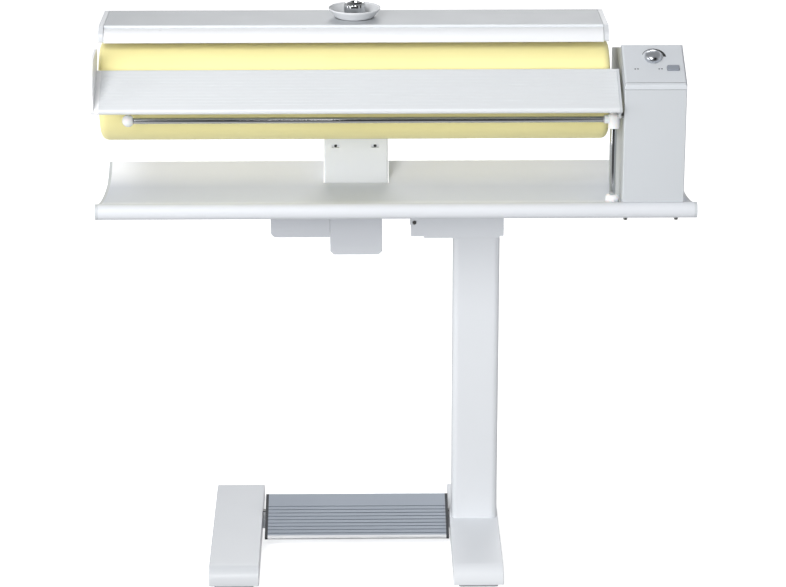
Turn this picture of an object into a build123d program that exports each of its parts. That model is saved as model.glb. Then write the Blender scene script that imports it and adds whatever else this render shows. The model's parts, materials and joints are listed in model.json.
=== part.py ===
from build123d import *
import math
import os

# Flatwork ironer: a folding rotary ironer on a stand with two feet.
# Millimetres. +X is right as seen from the front, the front faces -Y, +Z is up.
# The origin is on the floor, under the middle of the tray.

# ---------------------------------------------------------------- overall
OVERALL_WIDTH = 985.0          # tray, over its end caps
OVERALL_DEPTH = 380.0          # feet, front to rear
X_LEFT = -OVERALL_WIDTH / 2
X_RIGHT = OVERALL_WIDTH / 2
BOX_INSET = 22.0               # control housing, from the tray's right end
BOX_WIDTH = 101.0
BOX_X1 = X_RIGHT - BOX_INSET
BOX_X0 = BOX_X1 - BOX_WIDTH

# ---------------------------------------------------------------- clearances
SEAT_GAP = 0.3                 # between faces that rest on each other
RUN_GAP = 0.05                 # radial, pin in bore
MOVE_GAP = 0.8                 # between a moving piece and its neighbour

# ---------------------------------------------------------------- stand
FOOT_WIDTH = 85.0
FOOT_BOTTOM_Z = 6.0
FOOT_TOP_Z = 35.0
FOOT_WALL = 3.0
FOOT_NOSE_R = 28.0
FOOT_TAIL_R = 6.0
FOOT_EDGE_R = 1.5
FOOT_SOFT_RISE = 1.0           # edges higher than this over the foot's lower edge are rounded
LEFT_FOOT_X = -318.0
RIGHT_FOOT_X = 96.5

GLIDE_LENGTH = 26.0
GLIDE_BLOCK_H = 10.0
GLIDE_PAD_INSET = 6.0
GLIDE_PAD_R = 4.0
GLIDE_FRONT_INSET = 6.0
GLIDE_REAR_INSET = 68.0
GLIDE_FRONT_Y = -OVERALL_DEPTH / 2 + GLIDE_FRONT_INSET
GLIDE_REAR_Y = OVERALL_DEPTH / 2 - GLIDE_REAR_INSET

WHEEL_R = 14.5
WHEEL_WIDTH = 16.0
WHEEL_AXLE_R = 4.0
WHEEL_FLOOR_GAP = 1.5
WHEEL_INSET = 18.5
WHEEL_Y = OVERALL_DEPTH / 2 - WHEEL_INSET
WHEEL_GROOVE_R = 1.2
WHEEL_EDGE_R = 2.0

COLUMN_X0 = 100.0
COLUMN_X1 = 179.0
COLUMN_Y0 = 28.0
COLUMN_Y1 = 88.0
COLUMN_TOP_Z = 557.0
COLUMN_WALL = 2.5
COLUMN_EDGE_R = 10.0

BRACKET_X0 = 27.0
BRACKET_X1 = 185.0
BRACKET_LIP_X0 = 49.0
BRACKET_LIP_X1 = 178.0
BRACKET_LIP_H = 3.0
BRACKET_PLATE = 3.0
BRACKET_TOP_Z = 600.0
BRACKET_CORNER_R = 3.0
BRACKET_SIDE_GAP = 1.0         # column's face to the bracket's side plate

CROSSBAR_Y0 = 50.0
CROSSBAR_DEPTH = 40.0
CROSSBAR_Y1 = CROSSBAR_Y0 + CROSSBAR_DEPTH
CROSSBAR_Z0 = 8.0
CROSSBAR_Z1 = 24.0
CROSSBAR_WALL = 2.0

# fold pivot, along Y
FOLD_X = 33.0
FOLD_Z = 582.0
FOLD_PIN_R = 4.0
FOLD_PIN_END_R = 3.25
FOLD_PIN_CAP_H = 1.6
FOLD_EAR_R = 12.0
FOLD_EAR_T = 6.0

# ---------------------------------------------------------------- pedal
PEDAL_LEFT_GAP = 5.0           # to the left foot
PEDAL_RIGHT_GAP = 2.0
PEDAL_X0 = LEFT_FOOT_X + FOOT_WIDTH + PEDAL_LEFT_GAP
PEDAL_X1 = RIGHT_FOOT_X - PEDAL_RIGHT_GAP
PEDAL_CAP_T = 5.0
PEDAL_FRONT_Y = -12.0
PEDAL_FRONT_Z = 18.0
PEDAL_REAR_Y = 99.0
PEDAL_REAR_Z = 53.3
PEDAL_T = 4.0
PEDAL_LIP_R = 2.4
PEDAL_PLAIN_BAND = 30.0        # smooth strip along the rear edge
PEDAL_RIB_COUNT = 9
PEDAL_RIB_GROOVE = 1.6
PEDAL_RIB_DEPTH = 1.0
PEDAL_RIB_START = 6.0          # from the front lip
PEDAL_EDGE_R = 1.0
PEDAL_PIN_R = 3.0
PEDAL_PIN_BACK = 24.0          # from the rear edge, along Y
PEDAL_PIN_DROP = 14.2          # below the tread
PEDAL_BOSS_R = 6.5
SWITCH_WIDTH = 30.0
SWITCH_LENGTH = 24.0
SWITCH_H = 14.0

# ---------------------------------------------------------------- roller
ROLLER_Z = 823.0
ROLLER_R = 84.0
ROLLER_LEFT_GAP = 5.0          # roller's free end, from the tray's left end
ROLLER_BOX_GAP = 17.0
ROLLER_X0 = X_LEFT + ROLLER_LEFT_GAP
ROLLER_X1 = BOX_X0 - ROLLER_BOX_GAP
ROLLER_EDGE_R = 12.0
CLOTH_T = 2.0
PADDING_T = 12.0
ROLLER_TUBE_WALL = 2.0
ROLLER_DISC_T = 4.0
ROLLER_HUB_R = 18.0
ROLLER_HUB_L = 14.0
SHAFT_R = 10.0
SHAFT_END_INSET = 7.0          # shaft's end, from the housing's right side
SHAFT_X1 = BOX_X1 - SHAFT_END_INSET
SHAFT_INSET = 3.0              # shaft and discs, from the cloth's fold
CLOTH_FOLD = 20.0              # how far the cloth folds in under the drum's radius
PULLEY_RIM = 8.0
PULLEY_RECESS = 5.0

# ---------------------------------------------------------------- tray
TRAY_T = 3.0
TRAY_CAP_T = 5.0
TRAY_ROLL_R = 13.0
TRAY_ROLL_Y = -140.0
TRAY_ROLL_Z = 654.0
TRAY_ROLL_WALL = 2.5
TRAY_REAR_Y = 163.0
TRAY_TROUGH_Z = 627.5
TRAY_CAP_H = 7.5               # end cap, top to bottom
TRAY_NOTCH_MARGIN = 1.5        # round the arm's cover
TRAY_WINDOW_MARGIN = 2.0       # round the bearing plates
UNDER_TRAY_DEPTH = 80.0        # reach of the space under the tray
# rise of the tray's surface over its trough, from front to rear
TRAY_RISE = ((-130.0, 35.5), (-66.0, 18.5), (8.0, 5.5), (75.0, 0.0), (112.0, 1.2), (140.0, 10.0),
             (TRAY_REAR_Y, 23.5))

# ---------------------------------------------------------------- head frame
BEAM_X0 = -200.0
BEAM_END_GAP = 3.0             # beam's end, from the housing's right side
BEAM_X1 = BOX_X1 - BEAM_END_GAP
BEAM_Y0 = 30.0
BEAM_DEPTH = 60.0
BEAM_Y1 = BEAM_Y0 + BEAM_DEPTH
BEAM_Z0 = 603.0
BEAM_WALL = 2.5
BEARING_PLATE_T = 5.0
NEAR_PLATE_INSET = 6.0         # from the housing's left side
FAR_PLATE_INSET = 27.0         # from its right side
BEARING_PLATE_X = (BOX_X0 + NEAR_PLATE_INSET, BOX_X1 - FAR_PLATE_INSET)
BEARING_R = 20.0
BEARING_L = 9.0
BEARING_COLLAR = 15.0          # radius
BEARING_PLATE_RISE = 32.0      # over the roller's axis
BEARING_PLATE_HALF = 55.0
BEARING_PLATE_NECK = 47.0
BEARING_PLATE_R = 12.0
BEARING_PLATE_TOP_R = 20.0

# ---------------------------------------------------------------- control housing
BOX_FRONT_Y = -140.0
BOX_REAR_Y = 115.0
BOX_WALL = 3.0
NOSE_Z = 857.5                 # seam under the panel's nose
NOSE_TOP_Z = 866.0
RIDGE_Y = -48.0
RIDGE_Z = 910.0
BOX_BACK_EDGE_Z = 864.0
PANEL_T = 5.0
PANEL_EDGE_R = 2.0
PANEL_RIDGE_R = 5.0
PANEL_NOSE_R = 3.0
PANEL_GROOVE_W = 0.9
PANEL_GROOVE_DEPTH = 0.7
PANEL_GROOVE_ALONG = 3.0
BOX_BACK_EDGE_R = 6.0
SLANT_WALL = 1.1 * BOX_WALL    # under the slope, measured upright
VENT_COUNT = 6
VENT_PITCH = 9.0
VENT_H = 3.0
VENT_INSET = 25.0
FRONT_SCREW_R = 3.5
FRONT_SCREW_H = 3.0
FRONT_SCREW_INSET = (6.0, 12.0)
FRONT_SCREW_X = (BOX_X0 + FRONT_SCREW_INSET[0], BOX_X1 - FRONT_SCREW_INSET[1])

DIAL_INSET = 50.0              # from the housing's left side
DIAL_X = BOX_X0 + DIAL_INSET
DIAL_Y = -80.0
DIAL_R = 14.0
DIAL_H = 14.0
DIAL_SHAFT_R = 3.0
DIAL_SHAFT_L = 10.0
BUTTON_INSET = 20.0            # from the housing's right side
BUTTON_X = BOX_X1 - BUTTON_INSET
BUTTON_Y = -103.0
BUTTON_W = 20.0
BUTTON_L = 12.0
BUTTON_PROUD = 2.5
BUTTON_DEPTH = 6.0
BUTTON_TRAVEL = 2.0
BUTTON_GAP = 0.4
BUTTON_CORNER_R = 2.5
BOARD_DROP = 16.0              # under the panel
BOARD_T = 2.0
BOARD_POST_R = 2.5
BOARD_MARGIN = 4.0             # to the housing's walls
BOARD_SHORT = 40.0             # shorter than the panel
BOARD_BACK = 6.0               # behind the panel's middle
BOARD_POST_INSET = 5.0

MOTOR_Y = -15.0
MOTOR_Z = 725.0
MOTOR_R = 33.0
MOTOR_SHAFT_R = 4.0
MOTOR_SHAFT_IN = 15.0          # shaft inside the gearbox
GEARBOX_L = 18.0
GEARBOX_DROP = 4.0
MOTOR_PULLEY_R = 12.0
ROLLER_PULLEY_R = 50.0
PULLEY_INSET = (18.0, 8.0)     # from the housing's right side
PULLEY_X0 = BOX_X1 - PULLEY_INSET[0]
PULLEY_X1 = BOX_X1 - PULLEY_INSET[1]
BELT_T = 3.0
BELT_W = 8.0

# ---------------------------------------------------------------- press (heated plate and hood)
PRESS_TRAVEL = 15.0            # lift of the open plate
PRESS_GAP = 0.5                # plate to cloth when closed
PLATE_T = 6.0
PLATE_FRONT_DEG = -26.0        # from straight up, rear positive
PLATE_REAR_DEG = 72.0
HOOD_LEFT_GAP = 5.5            # hood's free end, from the tray's left end
HOOD_BOX_GAP = 19.5
HOOD_X0 = X_LEFT + HOOD_LEFT_GAP
HOOD_X1 = BOX_X0 - HOOD_BOX_GAP
HOOD_T = 2.5
HOOD_AIR = 7.5                 # between plate and hood
HOOD_CAP_T = 8.0
HOOD_CAP_CLEAR = 3.0           # end cap's hollow, outside the plate's inner face
HOOD_CREASE_Y = -26.5
HOOD_CREASE_R = 2.5
HOOD_BROW_Y = -26.5
HOOD_BROW_DROP = 8.0
HOOD_FLAT_Y = 100.0
HOOD_FLAT_FALL = 5.0
HOOD_REAR_Y = 158.0
HOOD_REAR_DROP = 66.5
HOOD_REAR_R = 20.4
HOOD_REAR_FALL = 14.0          # from the flat's end to the rear edge
HOOD_SHOULDER_R = 30.0
ELEMENT_R = 3.2
ELEMENT_DEG = (22.0, 36.0, 50.0)
ELEMENT_INSET = 40.0

GUARD_T = 3.0
GUARD_LIP_Y = -48.0
GUARD_LIP_DROP = 24.5          # under the hood's top
GUARD_BULGE_Y = -44.0
GUARD_BULGE_DROP = 12.0
GUARD_HINGE_OUT = 2.6          # upper edge, in front of the hood's crease
GUARD_HINGE_DROP = 4.3
GUARD_PIVOT_OUT = 3.2
GUARD_PIVOT_DROP = 6.9
GUARD_PIN_R = 1.4
GUARD_PIN_L = 5.0
GUARD_ROD_R = 2.2
CAP_LIP_R = 2.0
CAP_BULGE_R = 9.0
CAP_BROW_R = 3.0

BOWL_X = -67.0
BOWL_Y = 38.0
BOWL_R = 43.5
BOWL_RIM_RISE = 14.5           # over the hood's crease
BOWL_WALL = 1.6
BOWL_CUP_R = 31.0
BOWL_FLOOR_R = 26.0
BOWL_SEAT_LIFT = 1.6           # floor over the cup's lowest point
BOWL_CUP_DROP = 2.6            # cup's lowest point under the hood's sheet
BOWL_FLANGE = 2.0
BOWL_HOLE_GAP = 1.0
BOWL_RIM_H = 4.0
CAP_R = 18.0
CAP_RISE = 8.0                 # over the bowl's rim
CAP_SLOT_W = 4.0
CAP_SLOT_DEPTH = 3.0
CAP_SLOT_TURN = 20.0
CAP_EDGE = 1.2
TANK_X0 = -217.0
TANK_X1 = 83.0
TANK_Y0 = 50.0
TANK_Y1 = 104.0
TANK_EDGE = 6.0
TANK_AIR = 2.0                 # over the heating rods

ARM_X0 = -120.0
ARM_X1 = -11.0
ARM_Y0 = 108.0
ARM_Y1 = 150.0
ARM_COVER_WALL = 3.5
ARM_COVER_Z0 = 620.0
ARM_COVER_Z1 = 880.0
ARM_SCREW_X = (-100.5, -33.0)
ARM_SCREW_Z = 693.0
ARM_SCREW_R = 2.4
ARM_POCKET_W = 13.0
ARM_POCKET_H = 5.4
ARM_POCKET_DEPTH = 4.0
ARM_POCKET_WALL = 2.0
ARM_SCREW_SINK = 1.2           # screw's head under the cover's face
ARM_SLOT_W = 1.2
ARM_SLOT_DEPTH = 1.0
LIFT_X0 = -100.0
LIFT_X1 = -31.0
LIFT_Y0 = 116.0
LIFT_Y1 = 142.0
LIFT_WALL = 3.0
LIFT_TOP_Z = 893.0
LIFT_BRACKET_INSET = 10.0
LIFT_BRACKET_Z0 = 852.0
LIFT_BRACKET_Z1 = 880.0
LIFT_BRACKET_Y0 = 45.0

# ---------------------------------------------------------------- housings under the tray
UNDER_TOP_Z = BEAM_Z0 - SEAT_GAP
PRESS_BOX_X0 = -110.0
PRESS_BOX_X1 = -22.0
PRESS_BOX_Y0 = -10.0
PRESS_BOX_Y1 = 150.0
PRESS_BOX_Z0 = 536.0
PRESS_BOX_CHAMFER = 6.0
MAINS_BOX_X0 = -210.0
MAINS_BOX_Y0 = -10.0
MAINS_BOX_Y1 = 95.0
MAINS_BOX_Z0 = 567.0
MAINS_BOX_R = 10.0
UNDER_WALL = 3.0
GLAND_R = 9.0
GLAND_BORE_R = 4.5
GLAND_L = 14.0
GLAND_FLANGE = 3.0

CRANK_R = 14.0
CRANK_T = 4.0
CRANK_PIN_R = 3.0
CRANK_SLOT_GAP = 0.7
CRANK_Y0 = 104.0
PRESS_MOTOR_R = 16.0
PRESS_MOTOR_Y0 = 6.0
PRESS_MOTOR_Y1 = 94.0
PRESS_SHAFT_R = 4.0
PRESS_SHAFT_IN = 9.0           # shaft inside the gearmotor
SADDLE_HALF = 12.0
SADDLE_INSET = (20.0, 60.0)    # from the motor's front
HANGER_HALF = 30.0
HANGER_INSET = 10.0            # from the beam's front
HANGER_Z = (UNDER_TOP_Z - 6.5, UNDER_TOP_Z - 2.0)
HANGER_SEAT_T = 3.0
GUIDE_H = 22.0
GUIDE_FRONT = 5.0              # in front of the arm

# ---------------------------------------------------------------- feed table
FEED_LEFT_CAP = 12.2           # width of the table's left end piece
FEED_BOX_GAP = 9.0
FEED_X0 = X_LEFT + FEED_LEFT_CAP
FEED_X1 = BOX_X0 - FEED_BOX_GAP
FEED_FRONT_Y = -158.0
FEED_FRONT_Z = 829.0
FEED_REAR_Y = -75.0
FEED_REAR_Z = 876.0
FEED_T = 10.0
FEED_REAR_T = 4.0
FEED_TAPER = 14.0
FEED_WALL = 2.0
FEED_LIP_R = 4.5
FEED_RIB_COUNT = 11
FEED_RIB_GROOVE = 1.4
FEED_RIB_DEPTH = 0.3
FEED_RIB_START = 10.0
FEED_CAP_T = 4.5
FEED_PIN_Y = -130.0
FEED_PIN_Z = 812.5
FEED_PIN_R = 3.0
FEED_LUG_R = 6.0
FEED_PIN_HEAD = 2.0            # head's radius over the pin's
FEED_PIN_IN = 4.0              # past the housing's wall
FEED_EDGE_R = 1.5
FEED_RIB_END = 4.0
FENCE_T = 4.0
FENCE_TOP_Z = 908.0
FENCE_TOP_R = 40.0
FENCE_REAR_Y = -42.0
FENCE_REAR_R = 12.0
FENCE_HEEL = 18.0
FENCE_HEEL_R = 10.0
FENCE_TOE_DROP = 6.0
FENCE_TOE_R = 4.0

# ---------------------------------------------------------------- laundry rail
RAIL_R = 5.0
RAIL_Y = -116.0
RAIL_Z = 801.5
RAIL_POST_GAP = 14.5           # post's axis, from the housing's left side
RAIL_BALL_INSET = 56.5         # ball's middle, from the tray's left end
RAIL_POST_X = BOX_X0 - RAIL_POST_GAP
RAIL_BALL_X = X_LEFT + RAIL_BALL_INSET
RAIL_BALL_R = 10.0
RAIL_ELBOW_R = 9.5
RAIL_ELBOW_ARM_R = 7.0
RAIL_ELBOW_REACH = 16.0
RAIL_ELBOW_H = 23.0
RAIL_ELBOW_TOP = 9.0           # over the bar's axis
RAIL_SOCKET_R = 11.5
RAIL_SOCKET_H = 15.0
RAIL_SOCKET_FLOOR = 3.0
RAIL_SOCKET_SINK = 8.0         # drawn below the tray's surface, then trimmed to it
RAIL_POST_OVER = 6.0           # over the bar's axis
RAIL_ELBOW_EDGE_R = 3.0
RAIL_WEB = 1.0                 # between the elbow's two bores

# ---------------------------------------------------------------- derived places
PLATE_R_IN = ROLLER_R + PRESS_GAP
PLATE_R_OUT = PLATE_R_IN + PLATE_T
PLATE_Z = ROLLER_Z + PRESS_TRAVEL
HOOD_TOP_Z = PLATE_Z + PLATE_R_OUT + HOOD_AIR + HOOD_T
BOWL_RIM_Z = HOOD_TOP_Z + BOWL_RIM_RISE
CAP_TOP_Z = BOWL_RIM_Z + CAP_RISE
BOWL_LOW_Z = HOOD_TOP_Z - HOOD_T - BOWL_CUP_DROP
COVER_R = ROLLER_R - CLOTH_T
TUBE_R = COVER_R - PADDING_T
TRAY_X0 = X_LEFT + TRAY_CAP_T
TRAY_X1 = X_RIGHT - TRAY_CAP_T
SLOPE = math.atan2(RIDGE_Z - NOSE_TOP_Z, RIDGE_Y - BOX_FRONT_Y - PANEL_EDGE_R)
LIFT_X = (LIFT_X0 + LIFT_X1) / 2
CRANK_THROW = PRESS_TRAVEL / 2 / math.sin(math.radians(45.0))


# ================================================================ helpers
def box(x0, x1, y0, y1, z0, z1):
    """Block between two corners."""
    centre = Pos((x0 + x1) / 2, (y0 + y1) / 2, (z0 + z1) / 2)
    return centre * Box(x1 - x0, y1 - y0, z1 - z0)


def rod_x(y, z, radius, x0, x1):
    """Cylinder along X."""
    along = Rotation(0, 90, 0) * Cylinder(radius, x1 - x0)
    return Pos((x0 + x1) / 2, y, z) * along


def rod_y(x, z, radius, y0, y1):
    """Cylinder along Y."""
    along = Rotation(90, 0, 0) * Cylinder(radius, y1 - y0)
    return Pos(x, (y0 + y1) / 2, z) * along


def rod_z(x, y, radius, z0, z1):
    """Cylinder along Z."""
    return Pos(x, y, (z0 + z1) / 2) * Cylinder(radius, z1 - z0)


def prism_x(profile, x0, x1):
    """Extrude a (Y, Z) profile from x0 to x1."""
    return extrude(Plane.YZ.offset(x0) * profile, amount=x1 - x0)


def prism_y(profile, y0, y1):
    """Extrude an (X, Z) profile from y0 to y1."""
    return extrude(Plane.XZ.offset(-y1) * profile, amount=y1 - y0)


def prism_z(profile, z0, z1):
    """Extrude an (X, Y) profile from z0 to z1."""
    return extrude(Plane.XY.offset(z0) * profile, amount=z1 - z0)


def outline(*corners):
    """Closed face through corners (u, v) or (u, v, radius), rounded where a radius is given."""
    edges = []
    stops = []
    count = len(corners)
    for index, corner in enumerate(corners):
        here = Vector(corner[0], corner[1])
        before = Vector(*corners[index - 1][:2])
        after = Vector(*corners[(index + 1) % count][:2])
        radius = corner[2] if len(corner) > 2 else 0.0
        if radius == 0.0:
            stops.append((here, here))
            continue
        back = (before - here).normalized()
        ahead = (after - here).normalized()
        half = math.radians(back.get_angle(ahead)) / 2
        reach = radius / math.tan(half)
        bisector = (back + ahead).normalized()
        middle = here + bisector * (radius / math.sin(half) - radius)
        start = here + back * reach
        end = here + ahead * reach
        edges.append(ThreePointArc(start, middle, end))
        stops.append((start, end))
    for index in range(count):
        leave = stops[index][1]
        arrive = stops[(index + 1) % count][0]
        if (arrive - leave).length > 0.001:
            edges.append(Line(leave, arrive))
    return make_face(edges)


def ring_sector(y, z, r_in, r_out, start_deg, end_deg):
    """Part of a ring in (Y, Z); angles run from straight up towards +Y."""
    def at(radius, degrees):
        angle = math.radians(degrees)
        return (y + radius * math.sin(angle), z + radius * math.cos(angle))
    mid_deg = (start_deg + end_deg) / 2
    outer = ThreePointArc(at(r_out, start_deg), at(r_out, mid_deg), at(r_out, end_deg))
    inner = ThreePointArc(at(r_in, end_deg), at(r_in, mid_deg), at(r_in, start_deg))
    rear = Line(at(r_out, end_deg), at(r_in, end_deg))
    front = Line(at(r_in, start_deg), at(r_out, start_deg))
    return make_face([outer, rear, inner, front])


def rounded_rect(x0, x1, y0, y1, radius):
    """Face of a rectangle with round corners."""
    return outline((x0, y0, radius), (x1, y0, radius), (x1, y1, radius), (x0, y1, radius))


def annulus(y, z, r_out, r_in):
    """Ring-shaped face in (Y, Z)."""
    return Pos(y, z) * (Circle(r_out) - Circle(r_in))


def tray_curve(lift):
    """The tray's surface curve in (Y, Z), raised by lift."""
    points = [(y, TRAY_TROUGH_Z + rise + lift) for y, rise in TRAY_RISE]
    return Spline(*points)


def band_face(top, bottom):
    """Face between two curves that both run from front to rear."""
    front = Line(bottom @ 0, top @ 0)
    rear = Line(top @ 1, bottom @ 1)
    return make_face([top, rear, bottom, front])


def under_tray(x0, x1):
    """All that lies under the tray's surface, with seat clearance."""
    depth = UNDER_TRAY_DEPTH
    top = tray_curve(SEAT_GAP)
    below = band_face(top, Pos(0, -depth) * top)
    roll = Pos(TRAY_ROLL_Y, TRAY_ROLL_Z) * Circle(TRAY_ROLL_R + SEAT_GAP)
    start = top @ 0
    front = outline((TRAY_ROLL_Y, TRAY_ROLL_Z + TRAY_ROLL_R + SEAT_GAP), (start.X, start.Y),
                    (start.X, start.Y - depth), (TRAY_ROLL_Y - TRAY_ROLL_R, start.Y - depth),
                    (TRAY_ROLL_Y - TRAY_ROLL_R, TRAY_ROLL_Z), (TRAY_ROLL_Y, TRAY_ROLL_Z))
    return prism_x(below, x0, x1) + prism_x(roll, x0, x1) + prism_x(front, x0, x1)


def tray_low_z():
    """Lowest height of the tray's surface."""
    curve = tray_curve(0.0)
    steps = 200
    return min((curve @ (step / steps)).Y for step in range(steps + 1))


BEAM_Z1 = tray_low_z() - TRAY_T - SEAT_GAP


# ================================================================ stand
def foot(x0):
    """Foot shell: a folded channel, open below, with a round nose."""
    x1 = x0 + FOOT_WIDTH
    half = OVERALL_DEPTH / 2
    outer_face = outline((-half, FOOT_BOTTOM_Z), (-half, FOOT_TOP_Z, FOOT_NOSE_R),
                         (half, FOOT_TOP_Z, FOOT_TAIL_R), (half, FOOT_BOTTOM_Z))
    outer = prism_x(outer_face, x0, x1)
    soft = [edge for edge in outer.edges()
            if edge.center().Z > FOOT_BOTTOM_Z + FOOT_SOFT_RISE
            and abs(edge.center().X - (x0 + x1) / 2) > FOOT_WIDTH / 4]
    outer = fillet(soft, FOOT_EDGE_R)
    inner_half = half - FOOT_WALL
    inner_top = FOOT_TOP_Z - FOOT_WALL
    inner_face = outline((-inner_half, 0.0), (-inner_half, inner_top, FOOT_NOSE_R - FOOT_WALL),
                         (inner_half, inner_top, FOOT_TAIL_R - FOOT_WALL), (inner_half, 0.0))
    inner = prism_x(inner_face, x0 + FOOT_WALL, x1 - FOOT_WALL)
    axle = rod_x(WHEEL_Y, wheel_z(), WHEEL_AXLE_R + RUN_GAP, x0 - 1, x1 + 1)
    return outer - inner - axle


def wheel_z():
    """Height of the transport wheels' axles."""
    return WHEEL_FLOOR_GAP + WHEEL_R


def glide(x0, y0):
    """Moulded insert in a foot, with the pad that stands on the floor."""
    inner0 = x0 + FOOT_WALL + SEAT_GAP
    inner1 = x0 + FOOT_WIDTH - FOOT_WALL - SEAT_GAP
    block = box(inner0, inner1, y0, y0 + GLIDE_LENGTH, FOOT_BOTTOM_Z, FOOT_BOTTOM_Z + GLIDE_BLOCK_H)
    pad_face = rounded_rect(inner0 + GLIDE_PAD_INSET, inner1 - GLIDE_PAD_INSET, y0, y0 + GLIDE_LENGTH,
                            GLIDE_PAD_R)
    return block + prism_z(pad_face, 0.0, FOOT_BOTTOM_Z)


def wheel(x0):
    """Transport wheel with its axle, across one foot."""
    middle = x0 + FOOT_WIDTH / 2
    tread = rod_x(WHEEL_Y, wheel_z(), WHEEL_R, middle - WHEEL_WIDTH / 2, middle + WHEEL_WIDTH / 2)
    tread = fillet(tread.edges().filter_by(GeomType.CIRCLE), WHEEL_EDGE_R)
    groove = Pos(middle, WHEEL_Y, wheel_z()) * (Rotation(0, 90, 0) * Torus(WHEEL_R, WHEEL_GROOVE_R))
    axle = rod_x(WHEEL_Y, wheel_z(), WHEEL_AXLE_R, x0, x0 + FOOT_WIDTH)
    return tread - groove + axle


def column():
    """Rectangular tube with round edges, on the right foot."""
    outer = rounded_rect(COLUMN_X0, COLUMN_X1, COLUMN_Y0, COLUMN_Y1, COLUMN_EDGE_R)
    inner = rounded_rect(COLUMN_X0 + COLUMN_WALL, COLUMN_X1 - COLUMN_WALL, COLUMN_Y0 + COLUMN_WALL,
                         COLUMN_Y1 - COLUMN_WALL, COLUMN_EDGE_R - COLUMN_WALL)
    return prism_z(outer - inner, FOOT_TOP_Z, COLUMN_TOP_Z)


def bracket_plate(y0):
    """One side plate of the column bracket, with its lower lip."""
    lip_z = COLUMN_TOP_Z - BRACKET_LIP_H
    face = outline((BRACKET_X0, COLUMN_TOP_Z), (BRACKET_LIP_X0, COLUMN_TOP_Z), (BRACKET_LIP_X0, lip_z),
                   (BRACKET_LIP_X1, lip_z), (BRACKET_LIP_X1, COLUMN_TOP_Z), (BRACKET_X1, COLUMN_TOP_Z),
                   (BRACKET_X1, BRACKET_TOP_Z, BRACKET_CORNER_R),
                   (BRACKET_X0, BRACKET_TOP_Z, BRACKET_CORNER_R))
    return prism_y(face, y0, y0 + BRACKET_PLATE)


def bracket_y():
    """Outer front and rear of the column bracket."""
    reach = BRACKET_PLATE + BRACKET_SIDE_GAP
    return COLUMN_Y0 - reach, COLUMN_Y1 + reach


def column_bracket():
    """Channel on the column: two side plates, a floor and an end wall."""
    front, rear = bracket_y()
    floor = box(BRACKET_LIP_X0, BRACKET_X1, front, rear, COLUMN_TOP_Z, COLUMN_TOP_Z + BRACKET_PLATE)
    wall = box(BRACKET_X1 - BRACKET_PLATE, BRACKET_X1, front, rear, COLUMN_TOP_Z,
               BRACKET_TOP_Z - BRACKET_CORNER_R)
    body = bracket_plate(front) + bracket_plate(rear - BRACKET_PLATE) + floor + wall
    bore = rod_y(FOLD_X, FOLD_Z, FOLD_PIN_END_R + RUN_GAP, front - 1, rear + 1)
    return body - bore


def fold_pivot_pin():
    """Shouldered pin along Y; its slim ends pass through the bracket."""
    front, rear = bracket_y()
    inner_front = front + BRACKET_PLATE + SEAT_GAP
    inner_rear = rear - BRACKET_PLATE - SEAT_GAP
    ends = rod_y(FOLD_X, FOLD_Z, FOLD_PIN_END_R, front - FOLD_PIN_CAP_H, rear + FOLD_PIN_CAP_H)
    return rod_y(FOLD_X, FOLD_Z, FOLD_PIN_R, inner_front, inner_rear) + ends


def base_crossbar():
    """Flat tube between the feet, under the pedal."""
    x0 = LEFT_FOOT_X + FOOT_WIDTH + SEAT_GAP
    x1 = RIGHT_FOOT_X - SEAT_GAP
    outer = box(x0, x1, CROSSBAR_Y0, CROSSBAR_Y1, CROSSBAR_Z0, CROSSBAR_Z1)
    inner = box(x0 - 1, x1 + 1, CROSSBAR_Y0 + CROSSBAR_WALL, CROSSBAR_Y1 - CROSSBAR_WALL,
                CROSSBAR_Z0 + CROSSBAR_WALL, CROSSBAR_Z1 - CROSSBAR_WALL)
    return outer - inner


def pedal_slope():
    """Tilt of the pedal in radians."""
    return math.atan2(PEDAL_REAR_Z - PEDAL_FRONT_Z, PEDAL_REAR_Y - PEDAL_FRONT_Y)


def pedal_pin_place():
    """(Y, Z) of the pedal's pivot."""
    y = PEDAL_REAR_Y - PEDAL_PIN_BACK
    z = PEDAL_REAR_Z - PEDAL_PIN_BACK * math.tan(pedal_slope()) - PEDAL_PIN_DROP
    return y, z


def pedal_pins():
    """Two pins, one in each foot's inner wall."""
    y, z = pedal_pin_place()
    left = rod_x(y, z, PEDAL_PIN_R, LEFT_FOOT_X + FOOT_WIDTH, PEDAL_X0 + PEDAL_CAP_T - 1.0)
    right = rod_x(y, z, PEDAL_PIN_R, PEDAL_X1 - PEDAL_CAP_T + 1.0, RIGHT_FOOT_X)
    return Compound(children=[left, right])


def pedal_switch():
    """Switch in front of the crossbar, under the tread."""
    middle = (PEDAL_X0 + PEDAL_X1) / 2
    y1 = CROSSBAR_Y0 - SEAT_GAP
    body = box(middle - SWITCH_WIDTH / 2, middle + SWITCH_WIDTH / 2, y1 - SWITCH_LENGTH, y1,
               CROSSBAR_Z0, CROSSBAR_Z0 + SWITCH_H)
    return body


def tilted(profile):
    """Move a profile drawn along the tread, from its front edge, to its place in (Y, Z)."""
    place = Pos(PEDAL_FRONT_Y, PEDAL_FRONT_Z) * Rotation(0, 0, math.degrees(pedal_slope()))
    return place * profile


def pedal_outline():
    """Section of the pedal along the tread: a plate with a round front lip."""
    length = math.hypot(PEDAL_REAR_Y - PEDAL_FRONT_Y, PEDAL_REAR_Z - PEDAL_FRONT_Z)
    plate = outline((0.0, 0.0), (length, 0.0, PEDAL_EDGE_R), (length, -PEDAL_T, PEDAL_EDGE_R),
                    (0.0, -PEDAL_T))
    lip = Pos(0.0, -PEDAL_LIP_R) * Circle(PEDAL_LIP_R)
    return plate + lip, length


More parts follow.
